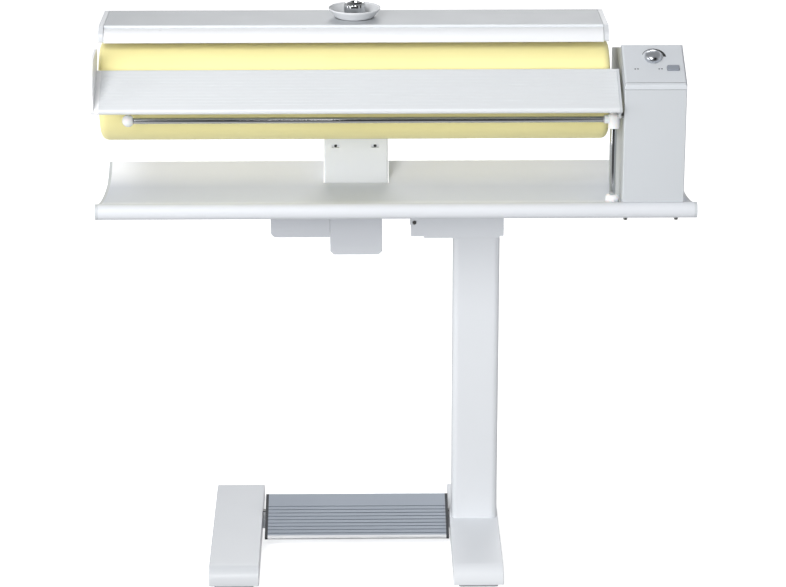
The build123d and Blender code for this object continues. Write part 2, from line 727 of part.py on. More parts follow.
def pedal_plate():
    """Extruded aluminium tread with grooves along it."""
    section, length = pedal_outline()
    pitch = (length - PEDAL_PLAIN_BAND - PEDAL_RIB_START) / PEDAL_RIB_COUNT
    for index in range(PEDAL_RIB_COUNT):
        middle = PEDAL_RIB_START + pitch * (index + 0.5)
        groove = outline((middle - PEDAL_RIB_GROOVE / 2, 1.0), (middle + PEDAL_RIB_GROOVE / 2, 1.0),
                         (middle + PEDAL_RIB_GROOVE / 2, -PEDAL_RIB_DEPTH),
                         (middle - PEDAL_RIB_GROOVE / 2, -PEDAL_RIB_DEPTH))
        section = section - groove
    return prism_x(tilted(section), PEDAL_X0 + PEDAL_CAP_T, PEDAL_X1 - PEDAL_CAP_T)


def pedal_end_caps():
    """Dark end pieces of the pedal, which hold its pivots."""
    section = tilted(pedal_outline()[0])
    y, z = pedal_pin_place()
    web = outline((y - PEDAL_BOSS_R, z), (y + PEDAL_BOSS_R, z),
                  (y + PEDAL_BOSS_R, z + PEDAL_PIN_DROP - PEDAL_T / 2),
                  (y - PEDAL_BOSS_R, z + PEDAL_PIN_DROP - PEDAL_T))
    face = section + web + Pos(y, z) * Circle(PEDAL_BOSS_R)
    face = face - Pos(y, z) * Circle(PEDAL_PIN_R + RUN_GAP)
    caps = [prism_x(face, x0, x0 + PEDAL_CAP_T) for x0 in (PEDAL_X0, PEDAL_X1 - PEDAL_CAP_T)]
    return Compound(children=caps)


# ================================================================ head: frame and tray
def fold_ear(y0):
    """Ear under the beam that turns on the fold pin; its left side is flush with the bracket."""
    face = outline((FOLD_X - FOLD_EAR_R, BEAM_Z0), (FOLD_X - FOLD_EAR_R, FOLD_Z),
                   (FOLD_X + FOLD_EAR_R, FOLD_Z), (FOLD_X + FOLD_EAR_R, BEAM_Z0))
    face = face + Pos(FOLD_X, FOLD_Z) * Circle(FOLD_EAR_R)
    face = face - Pos(FOLD_X, FOLD_Z) * Circle(FOLD_PIN_R + RUN_GAP)
    left = FOLD_X - 2 * FOLD_EAR_R
    trim = box(left, BRACKET_X0, y0 - 1, y0 + FOLD_EAR_T + 1, FOLD_Z - 2 * FOLD_EAR_R, BEAM_Z0)
    return prism_y(face, y0, y0 + FOLD_EAR_T) - trim


def bearing_plate(x0):
    """Upright plate that carries a roller bearing and the drive motor."""
    top = ROLLER_Z + BEARING_PLATE_RISE
    below = MOTOR_Z - MOTOR_R
    face = outline((BEAM_Y0, BEAM_Z1), (BEAM_Y1, BEAM_Z1), (BEAM_Y1, below, BEARING_PLATE_R),
                   (BEARING_PLATE_HALF, MOTOR_Z, BEARING_PLATE_R),
                   (BEARING_PLATE_NECK, top, BEARING_PLATE_TOP_R),
                   (-BEARING_PLATE_HALF, top, BEARING_PLATE_TOP_R),
                   (-BEARING_PLATE_HALF, below, BEARING_PLATE_TOP_R),
                   (BEAM_Y0, below - MOTOR_R, BEARING_PLATE_R))
    face = face - Pos(0.0, ROLLER_Z) * Circle(BEARING_R + RUN_GAP)
    face = face - Pos(MOTOR_Y, MOTOR_Z) * Circle(MOTOR_SHAFT_R + MOVE_GAP)
    return prism_x(face, x0, x0 + BEARING_PLATE_T)


def head_frame():
    """Welded chassis: beam under the tray, fold ears and the two bearing plates."""
    outer = box(BEAM_X0, BEAM_X1, BEAM_Y0, BEAM_Y1, BEAM_Z0, BEAM_Z1)
    inner = box(BEAM_X0 - 1, BEAM_X1 + 1, BEAM_Y0 + BEAM_WALL, BEAM_Y1 - BEAM_WALL,
                BEAM_Z0 + BEAM_WALL, BEAM_Z1 - BEAM_WALL)
    front, rear = bracket_y()
    ear_front = front + BRACKET_PLATE + MOVE_GAP
    ear_rear = rear - BRACKET_PLATE - MOVE_GAP - FOLD_EAR_T
    frame = outer - inner + fold_ear(ear_front) + fold_ear(ear_rear)
    for x0 in BEARING_PLATE_X:
        frame = frame + bearing_plate(x0)
    return frame


def tray():
    """Take-off tray: a shallow trough with a rolled front edge."""
    sheet = band_face(tray_curve(0.0), tray_curve(-TRAY_T))
    roll = Pos(TRAY_ROLL_Y, TRAY_ROLL_Z) * Circle(TRAY_ROLL_R)
    hollow = Pos(TRAY_ROLL_Y, TRAY_ROLL_Z) * Circle(TRAY_ROLL_R - TRAY_ROLL_WALL)
    body = prism_x(sheet, TRAY_X0, TRAY_X1) + prism_x(roll, TRAY_X0, TRAY_X1)
    body = body - prism_x(hollow, TRAY_X0 - 1, TRAY_X1 + 1)
    margin = TRAY_NOTCH_MARGIN
    notch = box(ARM_X0 - margin, ARM_X1 + margin, ARM_Y0 - margin, TRAY_REAR_Y + 1,
                BEAM_Z0, ROLLER_Z - ROLLER_R)
    gap = TRAY_WINDOW_MARGIN
    window = box(BEARING_PLATE_X[0] - gap, BEARING_PLATE_X[1] + BEARING_PLATE_T + gap,
                 BEAM_Y0 - gap, BEAM_Y1 + gap, BEAM_Z0, ROLLER_Z - ROLLER_R)
    return body - notch - window


def tray_end_caps():
    """Moulded ends of the tray."""
    sheet = band_face(tray_curve(0.0), tray_curve(-TRAY_CAP_H))
    roll = Pos(TRAY_ROLL_Y, TRAY_ROLL_Z) * Circle(TRAY_ROLL_R)
    caps = []
    for x0 in (X_LEFT, X_RIGHT - TRAY_CAP_T):
        caps.append(prism_x(sheet, x0, x0 + TRAY_CAP_T) + prism_x(roll, x0, x0 + TRAY_CAP_T))
    return Compound(children=caps)


# ================================================================ head: control housing
def panel_point(along, depth):
    """(Y, Z) on the sloping panel: along it from the nose, and depth under its face."""
    y = BOX_FRONT_Y + PANEL_EDGE_R + along * math.cos(SLOPE) + depth * math.sin(SLOPE)
    z = NOSE_TOP_Z + along * math.sin(SLOPE) - depth * math.cos(SLOPE)
    return y, z


def panel_length():
    """Length of the sloping panel, from nose to ridge."""
    return math.hypot(RIDGE_Y - BOX_FRONT_Y - PANEL_EDGE_R, RIDGE_Z - NOSE_TOP_Z)


def panel_plane(x, y):
    """Plane on the panel's face, with its normal pointing out of it."""
    z = NOSE_TOP_Z + (y - BOX_FRONT_Y - PANEL_EDGE_R) * math.tan(SLOPE)
    return Plane(origin=(x, y, z), x_dir=(1, 0, 0), z_dir=(0, -math.sin(SLOPE), math.cos(SLOPE)))


def housing_under_panel(gap):
    """Upper corners of the housing, under the panel by gap."""
    under_nose = panel_point(PANEL_T, PANEL_T + gap)
    under_ridge = panel_point(panel_length() - PANEL_EDGE_R, PANEL_T + gap)
    return under_nose, under_ridge


def control_housing():
    """Tall shell at the right end, open behind and below."""
    under_nose, under_ridge = housing_under_panel(SEAT_GAP)
    foot_z = BEAM_Z0
    outer_face = outline((BOX_FRONT_Y, foot_z), (BOX_FRONT_Y, NOSE_Z - SEAT_GAP), under_nose, under_ridge,
                         (BOX_REAR_Y, BOX_BACK_EDGE_Z, BOX_BACK_EDGE_R), (BOX_REAR_Y, foot_z))
    inner_face = outline((BOX_FRONT_Y + BOX_WALL, foot_z - 1),
                         (BOX_FRONT_Y + BOX_WALL, NOSE_Z - 2 * BOX_WALL),
                         (under_nose[0] + BOX_WALL / 2, under_nose[1] - SLANT_WALL),
                         (under_ridge[0], under_ridge[1] - SLANT_WALL),
                         (BOX_REAR_Y + 1, BOX_BACK_EDGE_Z - BOX_WALL), (BOX_REAR_Y + 1, foot_z - 1))
    outer = prism_x(outer_face, BOX_X0, BOX_X1)
    uprights = outer.edges().filter_by(Axis.Z).sort_by(Axis.Y)[:2]
    outer = fillet(uprights, PANEL_EDGE_R)
    shell = outer - prism_x(inner_face, BOX_X0 + BOX_WALL, BOX_X1 - BOX_WALL)
    shell = shell - rod_x(0.0, ROLLER_Z, SHAFT_R + MOVE_GAP, BOX_X0 - 1, BOX_X0 + BOX_WALL + 1)
    shell = shell - rod_x(FEED_PIN_Y, FEED_PIN_Z, FEED_PIN_R + RUN_GAP, BOX_X0 - 1, BOX_X0 + BOX_WALL + 1)
    dial_bore = panel_plane(DIAL_X, DIAL_Y) * Cylinder(DIAL_SHAFT_R + MOVE_GAP, 8 * PANEL_T)
    button_bore = panel_plane(BUTTON_X, BUTTON_Y) * Box(BUTTON_W + 2 * MOVE_GAP, BUTTON_L + 2 * MOVE_GAP,
                                                        8 * PANEL_T)
    return shell - dial_bore - button_bore - under_tray(BOX_X0 - 5, BOX_X1 + 5)


def control_panel():
    """Sloping cap of the housing, with a round nose strip."""
    rear = panel_point(panel_length(), PANEL_T)
    front_low = panel_point(PANEL_T, PANEL_T)
    heel = (rear[0] + PANEL_T - 1.0, rear[1] - PANEL_EDGE_R)
    face = outline((BOX_FRONT_Y, NOSE_Z), (BOX_FRONT_Y, NOSE_TOP_Z - 1.0, PANEL_NOSE_R),
                   (RIDGE_Y, RIDGE_Z, PANEL_RIDGE_R), heel,
                   panel_point(panel_length() - PANEL_EDGE_R, PANEL_T), front_low)
    body = prism_x(face, BOX_X0, BOX_X1)
    slopes = [edge for edge in body.edges()
              if edge.center().Z > NOSE_TOP_Z and edge.length > panel_length() / 2]
    left = [edge for edge in slopes if edge.center().X < BOX_X0 + 0.1]
    right = [edge for edge in slopes if edge.center().X > BOX_X1 - 0.1]
    highest_left = sorted(left, key=lambda edge: edge.center().Z)[-1:]
    highest_right = sorted(right, key=lambda edge: edge.center().Z)[-1:]
    body = fillet(highest_left + highest_right, PANEL_EDGE_R)
    near = PANEL_GROOVE_ALONG
    far = near + PANEL_GROOVE_W
    groove = outline(panel_point(near, -1.0), panel_point(far, -1.0), panel_point(far, PANEL_GROOVE_DEPTH),
                     panel_point(near, PANEL_GROOVE_DEPTH))
    body = body - prism_x(groove, BOX_X0 + PANEL_T, BOX_X1 - PANEL_T)
    dial_bore = panel_plane(DIAL_X, DIAL_Y) * Cylinder(DIAL_SHAFT_R + RUN_GAP, 6 * PANEL_T)
    button_face = RectangleRounded(BUTTON_W + 2 * BUTTON_GAP, BUTTON_L + 2 * BUTTON_GAP, BUTTON_CORNER_R)
    button_bore = extrude(panel_plane(BUTTON_X, BUTTON_Y) * button_face, amount=3 * PANEL_T, both=True)
    return body - dial_bore - button_bore


def housing_rear_cover():
    """Cover plate in the open back of the housing."""
    inner_y = BOX_REAR_Y - BOX_WALL
    plate = box(BOX_X0 + BOX_WALL + SEAT_GAP, BOX_X1 - BOX_WALL - SEAT_GAP, inner_y, BOX_REAR_Y,
                BEAM_Z0, BOX_BACK_EDGE_Z - 2 * BOX_WALL)
    plate = plate - under_tray(BOX_X0, BOX_X1)
    for index in range(VENT_COUNT):
        z = MOTOR_Z + index * VENT_PITCH
        plate = plate - box(BOX_X0 + VENT_INSET, BOX_X1 - VENT_INSET, inner_y - 1, BOX_REAR_Y + 1,
                            z, z + VENT_H)
    return plate


def dial():
    """Round knob with a domed face, on a shaft through the panel."""
    knob_low = Cylinder(DIAL_R, DIAL_H, align=(Align.CENTER, Align.CENTER, Align.MIN))
    knob = fillet(knob_low.edges().filter_by(GeomType.CIRCLE).sort_by(Axis.Z)[-1], DIAL_H * 0.6)
    shaft = Pos(0, 0, -DIAL_SHAFT_L - SEAT_GAP) * Cylinder(
        DIAL_SHAFT_R, DIAL_SHAFT_L + 2.0, align=(Align.CENTER, Align.CENTER, Align.MIN))
    return panel_plane(DIAL_X, DIAL_Y) * (Pos(0, 0, SEAT_GAP) * (knob + shaft))


def power_button():
    """Push button with round corners."""
    face = RectangleRounded(BUTTON_W, BUTTON_L, BUTTON_CORNER_R)
    top = panel_plane(BUTTON_X, BUTTON_Y).offset(BUTTON_PROUD)
    body = extrude(top * face, amount=-(BUTTON_PROUD + BUTTON_DEPTH))
    return body


def control_board():
    """Circuit board on four posts under the panel."""
    plane = panel_plane((BOX_X0 + BOX_X1) / 2, (BOX_FRONT_Y + RIDGE_Y) / 2 + BOARD_BACK)
    width = BOX_X1 - BOX_X0 - 2 * (BOX_WALL + BOARD_MARGIN)
    length = panel_length() - BOARD_SHORT
    board = plane.offset(-BOARD_DROP) * Box(width, length, BOARD_T)
    post_top = -PANEL_T - SLANT_WALL - 2 * SEAT_GAP
    for side in (-1, 1):
        for end in (-1, 1):
            start = -BOARD_DROP
            post = Pos(side * (width / 2 - BOARD_POST_INSET), end * (length / 2 - BOARD_POST_INSET),
                       (start + post_top) / 2)
            board = board + plane * (post * Cylinder(BOARD_POST_R, post_top - start))
    return board


def belt_loop(grow):
    """Loop round both pulleys, grown outwards."""
    small_r = MOTOR_PULLEY_R + grow
    large_r = ROLLER_PULLEY_R + grow
    dy = -MOTOR_Y
    dz = ROLLER_Z - MOTOR_Z
    distance = math.hypot(dy, dz)
    heading = math.atan2(dz, dy)
    spread = math.acos((small_r - large_r) / distance)

    def at(centre_y, centre_z, radius, angle):
        return (centre_y + radius * math.cos(angle), centre_z + radius * math.sin(angle))

    left = heading + spread
    right = heading - spread
    low_left = at(MOTOR_Y, MOTOR_Z, small_r, left)
    low_right = at(MOTOR_Y, MOTOR_Z, small_r, right)
    low_end = at(MOTOR_Y, MOTOR_Z, small_r, heading + math.pi)
    high_left = at(0.0, ROLLER_Z, large_r, left)
    high_right = at(0.0, ROLLER_Z, large_r, right)
    high_end = at(0.0, ROLLER_Z, large_r, heading)
    return make_face([ThreePointArc(low_left, low_end, low_right), Line(low_right, high_right),
                      ThreePointArc(high_right, high_end, high_left), Line(high_left, low_left)])


def drive_belt():
    """Belt from the motor pulley to the roller pulley."""
    middle = (PULLEY_X0 + PULLEY_X1) / 2
    loop = belt_loop(SEAT_GAP + BELT_T) - belt_loop(SEAT_GAP)
    return prism_x(loop, middle - BELT_W / 2, middle + BELT_W / 2)


def drive_motor():
    """Gearmotor between the bearing plates."""
    x0 = BEARING_PLATE_X[0] + BEARING_PLATE_T + SEAT_GAP
    x1 = BEARING_PLATE_X[1] - SEAT_GAP
    body = rod_x(MOTOR_Y, MOTOR_Z, MOTOR_R, x0, x1)
    gearbox = box(x1 - GEARBOX_L, x1, MOTOR_Y - MOTOR_R, MOTOR_Y + MOTOR_R, MOTOR_Z - MOTOR_R - GEARBOX_DROP,
                  MOTOR_Z)
    return body + gearbox - rod_x(MOTOR_Y, MOTOR_Z, MOTOR_SHAFT_R + RUN_GAP, x1 - MOTOR_SHAFT_IN - 1, x1 + 1)


def motor_pulley():
    """Small pulley with its shaft."""
    pulley = rod_x(MOTOR_Y, MOTOR_Z, MOTOR_PULLEY_R, PULLEY_X0, PULLEY_X1)
    shaft = rod_x(MOTOR_Y, MOTOR_Z, MOTOR_SHAFT_R, BEARING_PLATE_X[1] - MOTOR_SHAFT_IN, PULLEY_X1)
    return pulley + shaft


def shaft_bearings():
    """Two plain bearings in the bearing plates."""
    rings = []
    for x0 in BEARING_PLATE_X:
        middle = x0 + BEARING_PLATE_T / 2
        ring = annulus(0.0, ROLLER_Z, BEARING_R, SHAFT_R + RUN_GAP)
        collar = annulus(0.0, ROLLER_Z, BEARING_COLLAR, SHAFT_R + RUN_GAP)
        rings.append(prism_x(ring, x0, x0 + BEARING_PLATE_T)
                     + prism_x(collar, middle - BEARING_L / 2, middle + BEARING_L / 2))
    return Compound(children=rings)


def housing_screws():
    """Two screw heads under the tray's front roll, below the housing."""
    screws = []
    z1 = TRAY_ROLL_Z - TRAY_ROLL_R - SEAT_GAP
    for x in FRONT_SCREW_X:
        screws.append(rod_z(x, TRAY_ROLL_Y, FRONT_SCREW_R, z1 - FRONT_SCREW_H, z1))
    return Compound(children=screws)


# ================================================================ head: housings under the tray
def press_housing():
    """Open-topped box for the press drive."""
    x0, x1, z0, c = PRESS_BOX_X0, PRESS_BOX_X1, PRESS_BOX_Z0, PRESS_BOX_CHAMFER
    w = UNDER_WALL
    outer_face = outline((x0, UNDER_TOP_Z), (x0, z0 + c), (x0 + c, z0), (x1 - c, z0), (x1, z0 + c),
                         (x1, UNDER_TOP_Z))
    inner_face = outline((x0 + w, UNDER_TOP_Z + 1), (x0 + w, z0 + c + 1), (x0 + c + 1, z0 + w),
                         (x1 - c - 1, z0 + w), (x1 - w, z0 + c + 1), (x1 - w, UNDER_TOP_Z + 1))
    outer = prism_y(outer_face, PRESS_BOX_Y0, PRESS_BOX_Y1)
    return outer - prism_y(inner_face, PRESS_BOX_Y0 + w, PRESS_BOX_Y1 - w)


def mains_housing():
    """Open-topped box for the mains connection."""
    x0, x1, z0 = MAINS_BOX_X0, PRESS_BOX_X0 - SEAT_GAP, MAINS_BOX_Z0
    w = UNDER_WALL
    outer_face = outline((x0, UNDER_TOP_Z), (x0, z0, MAINS_BOX_R), (x1, z0), (x1, UNDER_TOP_Z))
    inner_face = outline((x0 + w, UNDER_TOP_Z + 1), (x0 + w, z0 + w, MAINS_BOX_R - w), (x1 - w, z0 + w),
                         (x1 - w, UNDER_TOP_Z + 1))
    outer = prism_y(outer_face, MAINS_BOX_Y0, MAINS_BOX_Y1)
    shell = outer - prism_y(inner_face, MAINS_BOX_Y0 + w, MAINS_BOX_Y1 - w)
    return shell - rod_y(gland_x(), gland_z(), GLAND_R + RUN_GAP, MAINS_BOX_Y1 - w - 1, MAINS_BOX_Y1 + 1)


def gland_x():
    """Middle of the mains box."""
    return (MAINS_BOX_X0 + PRESS_BOX_X0) / 2


def gland_z():
    """Height of the cable gland."""
    return (MAINS_BOX_Z0 + UNDER_TOP_Z) / 2


def cable_gland():
    """Gland in the rear wall of the mains box, with an open bore."""
    x, z = gland_x(), gland_z()
    y1 = MAINS_BOX_Y1
    sleeve = rod_y(x, z, GLAND_R, y1 - UNDER_WALL, y1 + GLAND_L)
    flange = rod_y(x, z, GLAND_R + GLAND_FLANGE, y1 + SEAT_GAP, y1 + SEAT_GAP + GLAND_FLANGE)
    return sleeve + flange - rod_y(x, z, GLAND_BORE_R, y1 - UNDER_WALL - 1, y1 + GLAND_L + 1)


def crank_z():
    """Height of the crank's centre: half a stroke under the open arm's slot."""
    return slot_z() - PRESS_TRAVEL / 2


def slot_z():
    """Height of the arm's cross slot with the press open."""
    return PRESS_BOX_Z0 + UNDER_WALL + CRANK_R + 2.0 + PRESS_TRAVEL / 2


def press_motor():
    """Gearmotor of the press drive."""
    z = crank_z()
    body = rod_y(LIFT_X, z, PRESS_MOTOR_R, PRESS_MOTOR_Y0, PRESS_MOTOR_Y1)
    saddle = box(LIFT_X - SADDLE_HALF, LIFT_X + SADDLE_HALF, PRESS_MOTOR_Y0 + SADDLE_INSET[0],
                 PRESS_MOTOR_Y0 + SADDLE_INSET[1], z, HANGER_Z[0] - SEAT_GAP)
    bore = rod_y(LIFT_X, z, PRESS_SHAFT_R + RUN_GAP, PRESS_MOTOR_Y1 - PRESS_SHAFT_IN - 1, PRESS_MOTOR_Y1 + 1)
    return body + saddle - bore


def press_crank():
    """Crank disc with a pin that works in the arm's slot."""
    z = crank_z()
    pin_x = LIFT_X + CRANK_THROW * math.cos(math.radians(45.0))
    pin_z = z + CRANK_THROW * math.sin(math.radians(45.0))
    disc = rod_y(LIFT_X, z, CRANK_R, CRANK_Y0, CRANK_Y0 + CRANK_T)
    shaft = rod_y(LIFT_X, z, PRESS_SHAFT_R, PRESS_MOTOR_Y1 - PRESS_SHAFT_IN, CRANK_Y0 + CRANK_T)
    pin = rod_y(pin_x, pin_z, CRANK_PIN_R, CRANK_Y0, LIFT_Y0 + LIFT_WALL)
    return disc + shaft + pin


def arm_guide():
    """Slide guide for the arm, hung from the beam."""
    wall = UNDER_WALL + SEAT_GAP
    left = LIFT_X - HANGER_HALF
    right = LIFT_X + HANGER_HALF
    front = BEAM_Y0 + HANGER_INSET
    block = box(PRESS_BOX_X0 + wall, PRESS_BOX_X1 - wall, LIFT_Y0 - GUIDE_FRONT, PRESS_BOX_Y1 - wall,
                HANGER_Z[1] - GUIDE_H, HANGER_Z[1])
    hanger = box(left, right, front, LIFT_Y0, *HANGER_Z)
    seat = box(left, right, front, BEAM_Y1, UNDER_TOP_Z - HANGER_SEAT_T, UNDER_TOP_Z)
    way = box(LIFT_X0 - SEAT_GAP, LIFT_X1 + SEAT_GAP, LIFT_Y0 - SEAT_GAP, LIFT_Y1 + SEAT_GAP,
              PRESS_BOX_Z0, BEAM_Z1)
    return block + hanger + seat - way


# ================================================================ roller
def roller_cover():
    """Cloth cover: a sleeve with soft edges that folds over both ends."""
    fold_r = TUBE_R - CLOTH_FOLD
    face = outline((ROLLER_X0, fold_r), (ROLLER_X0, ROLLER_R, ROLLER_EDGE_R),
                   (ROLLER_X1, ROLLER_R, ROLLER_EDGE_R),
                   (ROLLER_X1, fold_r), (ROLLER_X1 - CLOTH_T, fold_r),
                   (ROLLER_X1 - CLOTH_T, COVER_R, ROLLER_EDGE_R - CLOTH_T),
                   (ROLLER_X0 + CLOTH_T, COVER_R, ROLLER_EDGE_R - CLOTH_T), (ROLLER_X0 + CLOTH_T, fold_r))
    return revolve_x(face)


def revolve_x(face):
    """Turn an (X, radius) face about the roller's axis."""
    solid = revolve(Plane.XZ * face, axis=Axis.X)
    return Pos(0, 0, ROLLER_Z) * solid


def roller_padding():
    """Felt padding between the tube and the cloth."""
    gap = RUN_GAP
    x0 = ROLLER_X0 + CLOTH_T + gap
    x1 = ROLLER_X1 - CLOTH_T - gap
    radius = COVER_R - gap
    inner = TUBE_R + gap
    edge_r = ROLLER_EDGE_R - CLOTH_T - gap
    face = outline((x0, inner), (x0, radius, edge_r), (x1, radius, edge_r), (x1, inner))
    return revolve_x(face)


def roller_tube():
    """Steel drum."""
    face = annulus(0.0, ROLLER_Z, TUBE_R, TUBE_R - ROLLER_TUBE_WALL)
    return prism_x(face, ROLLER_X0 + CLOTH_T + RUN_GAP, ROLLER_X1 - CLOTH_T - RUN_GAP)


def roller_end_discs():
    """End discs that join the drum to its shaft."""
    radius = TUBE_R - ROLLER_TUBE_WALL - RUN_GAP
    discs = []
    inset = CLOTH_T + SHAFT_INSET
    for x0, hub_x0 in ((ROLLER_X0 + inset, ROLLER_X0 + inset),
                       (ROLLER_X1 - inset - ROLLER_DISC_T, ROLLER_X1 - inset - ROLLER_HUB_L)):
        disc = prism_x(annulus(0.0, ROLLER_Z, radius, SHAFT_R + RUN_GAP), x0, x0 + ROLLER_DISC_T)
        hub = prism_x(annulus(0.0, ROLLER_Z, ROLLER_HUB_R, SHAFT_R + RUN_GAP), hub_x0, hub_x0 + ROLLER_HUB_L)
        discs.append(disc + hub)
    return Compound(children=discs)


def roller_shaft():
    """Through shaft, held in the bearings at its right end."""
    return rod_x(0.0, ROLLER_Z, SHAFT_R, ROLLER_X0 + CLOTH_T + SHAFT_INSET, SHAFT_X1)


def roller_pulley():
    """Large pulley on the shaft's end."""
    rim = annulus(0.0, ROLLER_Z, ROLLER_PULLEY_R, SHAFT_R + RUN_GAP)
    pulley = prism_x(rim, PULLEY_X0, PULLEY_X1)
    recess = annulus(0.0, ROLLER_Z, ROLLER_PULLEY_R - PULLEY_RIM, SHAFT_R + PULLEY_RIM)
    return pulley - prism_x(recess, PULLEY_X1 - PULLEY_RECESS, PULLEY_X1 + 1)


# ================================================================ press
def heater_plate():
    """Heated aluminium shoe, concave towards the roller."""
    face = ring_sector(0.0, PLATE_Z, PLATE_R_IN, PLATE_R_OUT, PLATE_FRONT_DEG, PLATE_REAR_DEG)
    return prism_x(face, HOOD_X0 + HOOD_CAP_T + SEAT_GAP, HOOD_X1 - HOOD_CAP_T - SEAT_GAP)


def heating_element():
    """Tubular heating rods on the back of the plate."""
    radius = PLATE_R_OUT + ELEMENT_R + RUN_GAP
    rods = []
    for degrees in ELEMENT_DEG:
        angle = math.radians(degrees)
        rods.append(rod_x(radius * math.sin(angle), PLATE_Z + radius * math.cos(angle), ELEMENT_R,
                          HOOD_X0 + ELEMENT_INSET, HOOD_X1 - ELEMENT_INSET))
    return Compound(children=rods)


def hood_points(inset):
    """Corners of the hood's section; inset moves them inwards by a wall's thickness."""
    top = HOOD_TOP_Z - inset
    return ((HOOD_BROW_Y + inset, HOOD_TOP_Z - HOOD_BROW_DROP),
            (HOOD_CREASE_Y + inset, top, HOOD_CREASE_R),
            (HOOD_FLAT_Y, top - HOOD_FLAT_FALL, HOOD_SHOULDER_R),
            (HOOD_REAR_Y - inset, top - HOOD_FLAT_FALL - HOOD_REAR_FALL, HOOD_REAR_R - inset),
            (HOOD_REAR_Y - inset, HOOD_TOP_Z - HOOD_REAR_DROP))


def hood_top(y):
    """Height of the hood's outer face at y, between its crease and the end of its flat."""
    return HOOD_TOP_Z - HOOD_FLAT_FALL * (y - HOOD_CREASE_Y) / (HOOD_FLAT_Y - HOOD_CREASE_Y)


def bowl_hole():
    """Hole in the hood for the filler bowl's cup."""
    return rod_z(BOWL_X, BOWL_Y, BOWL_CUP_R + BOWL_HOLE_GAP, BOWL_LOW_Z, BOWL_RIM_Z)


def hood_shell():
    """Long sheet cover over the heated plate."""
    outer = hood_points(0.0)
    inner = hood_points(HOOD_T)
    sheet = outline(*outer, *reversed(inner))
    x0 = HOOD_X0 + HOOD_CAP_T + SEAT_GAP
    x1 = HOOD_X1 - HOOD_CAP_T - SEAT_GAP
    return prism_x(sheet, x0, x1) - bowl_hole()


def guard_points(inset):
    """Points of the finger guard's bowed face, from its hinge to its lip."""
    hinge = (HOOD_CREASE_Y - GUARD_HINGE_OUT + inset * 0.3, HOOD_TOP_Z - GUARD_HINGE_DROP - inset)
    bulge = (GUARD_BULGE_Y + inset * 0.75, HOOD_TOP_Z - GUARD_BULGE_DROP - inset * 0.4)
    lip = (GUARD_LIP_Y + inset, HOOD_TOP_Z - GUARD_LIP_DROP)
    return hinge, bulge, lip


def guard_pivot():
    """(Y, Z) of the finger guard's hinge."""
    return HOOD_CREASE_Y - GUARD_PIVOT_OUT, HOOD_TOP_Z - GUARD_PIVOT_DROP


def guard_face(inset):
    """Section of the finger guard."""
    outer = guard_points(0.0)
    inner = guard_points(inset)
    return make_face([ThreePointArc(*outer), Line(outer[2], inner[2]),
                      ThreePointArc(*reversed(inner)), Line(inner[0], outer[0])])


def finger_guard():
    """Front lip of the hood; it swings forwards when something pushes it."""
    x0 = HOOD_X0 + HOOD_CAP_T + MOVE_GAP
    x1 = HOOD_X1 - HOOD_CAP_T - MOVE_GAP
    y, z = guard_pivot()
    body = prism_x(guard_face(GUARD_T), x0, x1) + rod_x(y, z, GUARD_ROD_R, x0, x1)
    pins = rod_x(y, z, GUARD_PIN_R, x0 - GUARD_PIN_L, x1 + GUARD_PIN_L)
    return body + pins


def hood_end_caps():
    """Closed ends of the hood, hollowed to clear the roller."""
    front = guard_points(0.0)
    bulge, lip = front[1], front[2]
    solid_face = outline((lip[0] + 1.0, lip[1] + 1.0, CAP_LIP_R),
                         (bulge[0] - 1.2, bulge[1] + 1.5, CAP_BULGE_R),
                         (HOOD_CREASE_Y - 1.0, HOOD_TOP_Z, CAP_BROW_R), *hood_points(0.0)[2:])
    bore = Pos(0.0, PLATE_Z) * Circle(PLATE_R_IN + HOOD_CAP_CLEAR)
    face = solid_face - bore
    y, z = guard_pivot()
    face = face - Pos(y, z) * Circle(GUARD_PIN_R + RUN_GAP)
    caps = [prism_x(face, x0, x0 + HOOD_CAP_T) for x0 in (HOOD_X0, HOOD_X1 - HOOD_CAP_T)]
    return Compound(children=caps)


def filler_bowl():
    """Shallow bowl round the water filler."""
    low = BOWL_LOW_Z
    flange_r = BOWL_CUP_R + BOWL_FLANGE
    flange_z = hood_top(BOWL_Y - flange_r) + SEAT_GAP
    shoulder_r = BOWL_R - BOWL_FLANGE
    w = BOWL_WALL
    face = outline((0.0, low), (BOWL_FLOOR_R, low), (BOWL_CUP_R, flange_z), (flange_r, flange_z),
                   (shoulder_r, BOWL_RIM_Z - BOWL_RIM_H), (BOWL_R, BOWL_RIM_Z), (BOWL_R - w, BOWL_RIM_Z),
                   (shoulder_r - w, BOWL_RIM_Z - BOWL_RIM_H + 1.0), (BOWL_CUP_R, flange_z + w),
                   (BOWL_FLOOR_R - w, low + BOWL_SEAT_LIFT), (0.0, low + BOWL_SEAT_LIFT))
    solid = revolve(Plane.XZ * face, axis=Axis.Z)
    return Pos(BOWL_X, BOWL_Y, 0) * solid


def filler_cap():
    """Round cap with a cross slot in its top."""
    z0 = BOWL_LOW_Z + BOWL_SEAT_LIFT + SEAT_GAP
    cap = rod_z(BOWL_X, BOWL_Y, CAP_R, z0, CAP_TOP_Z)
    cap = chamfer(cap.edges().filter_by(GeomType.CIRCLE).sort_by(Axis.Z)[-1], CAP_EDGE)
    for turn in (0, 90):
        bar = Box(2 * CAP_R + 2, CAP_SLOT_W, 2 * CAP_SLOT_DEPTH)
        cap = cap - Pos(BOWL_X, BOWL_Y, CAP_TOP_Z) * (Rotation(0, 0, turn + CAP_SLOT_TURN) * bar)
    return cap


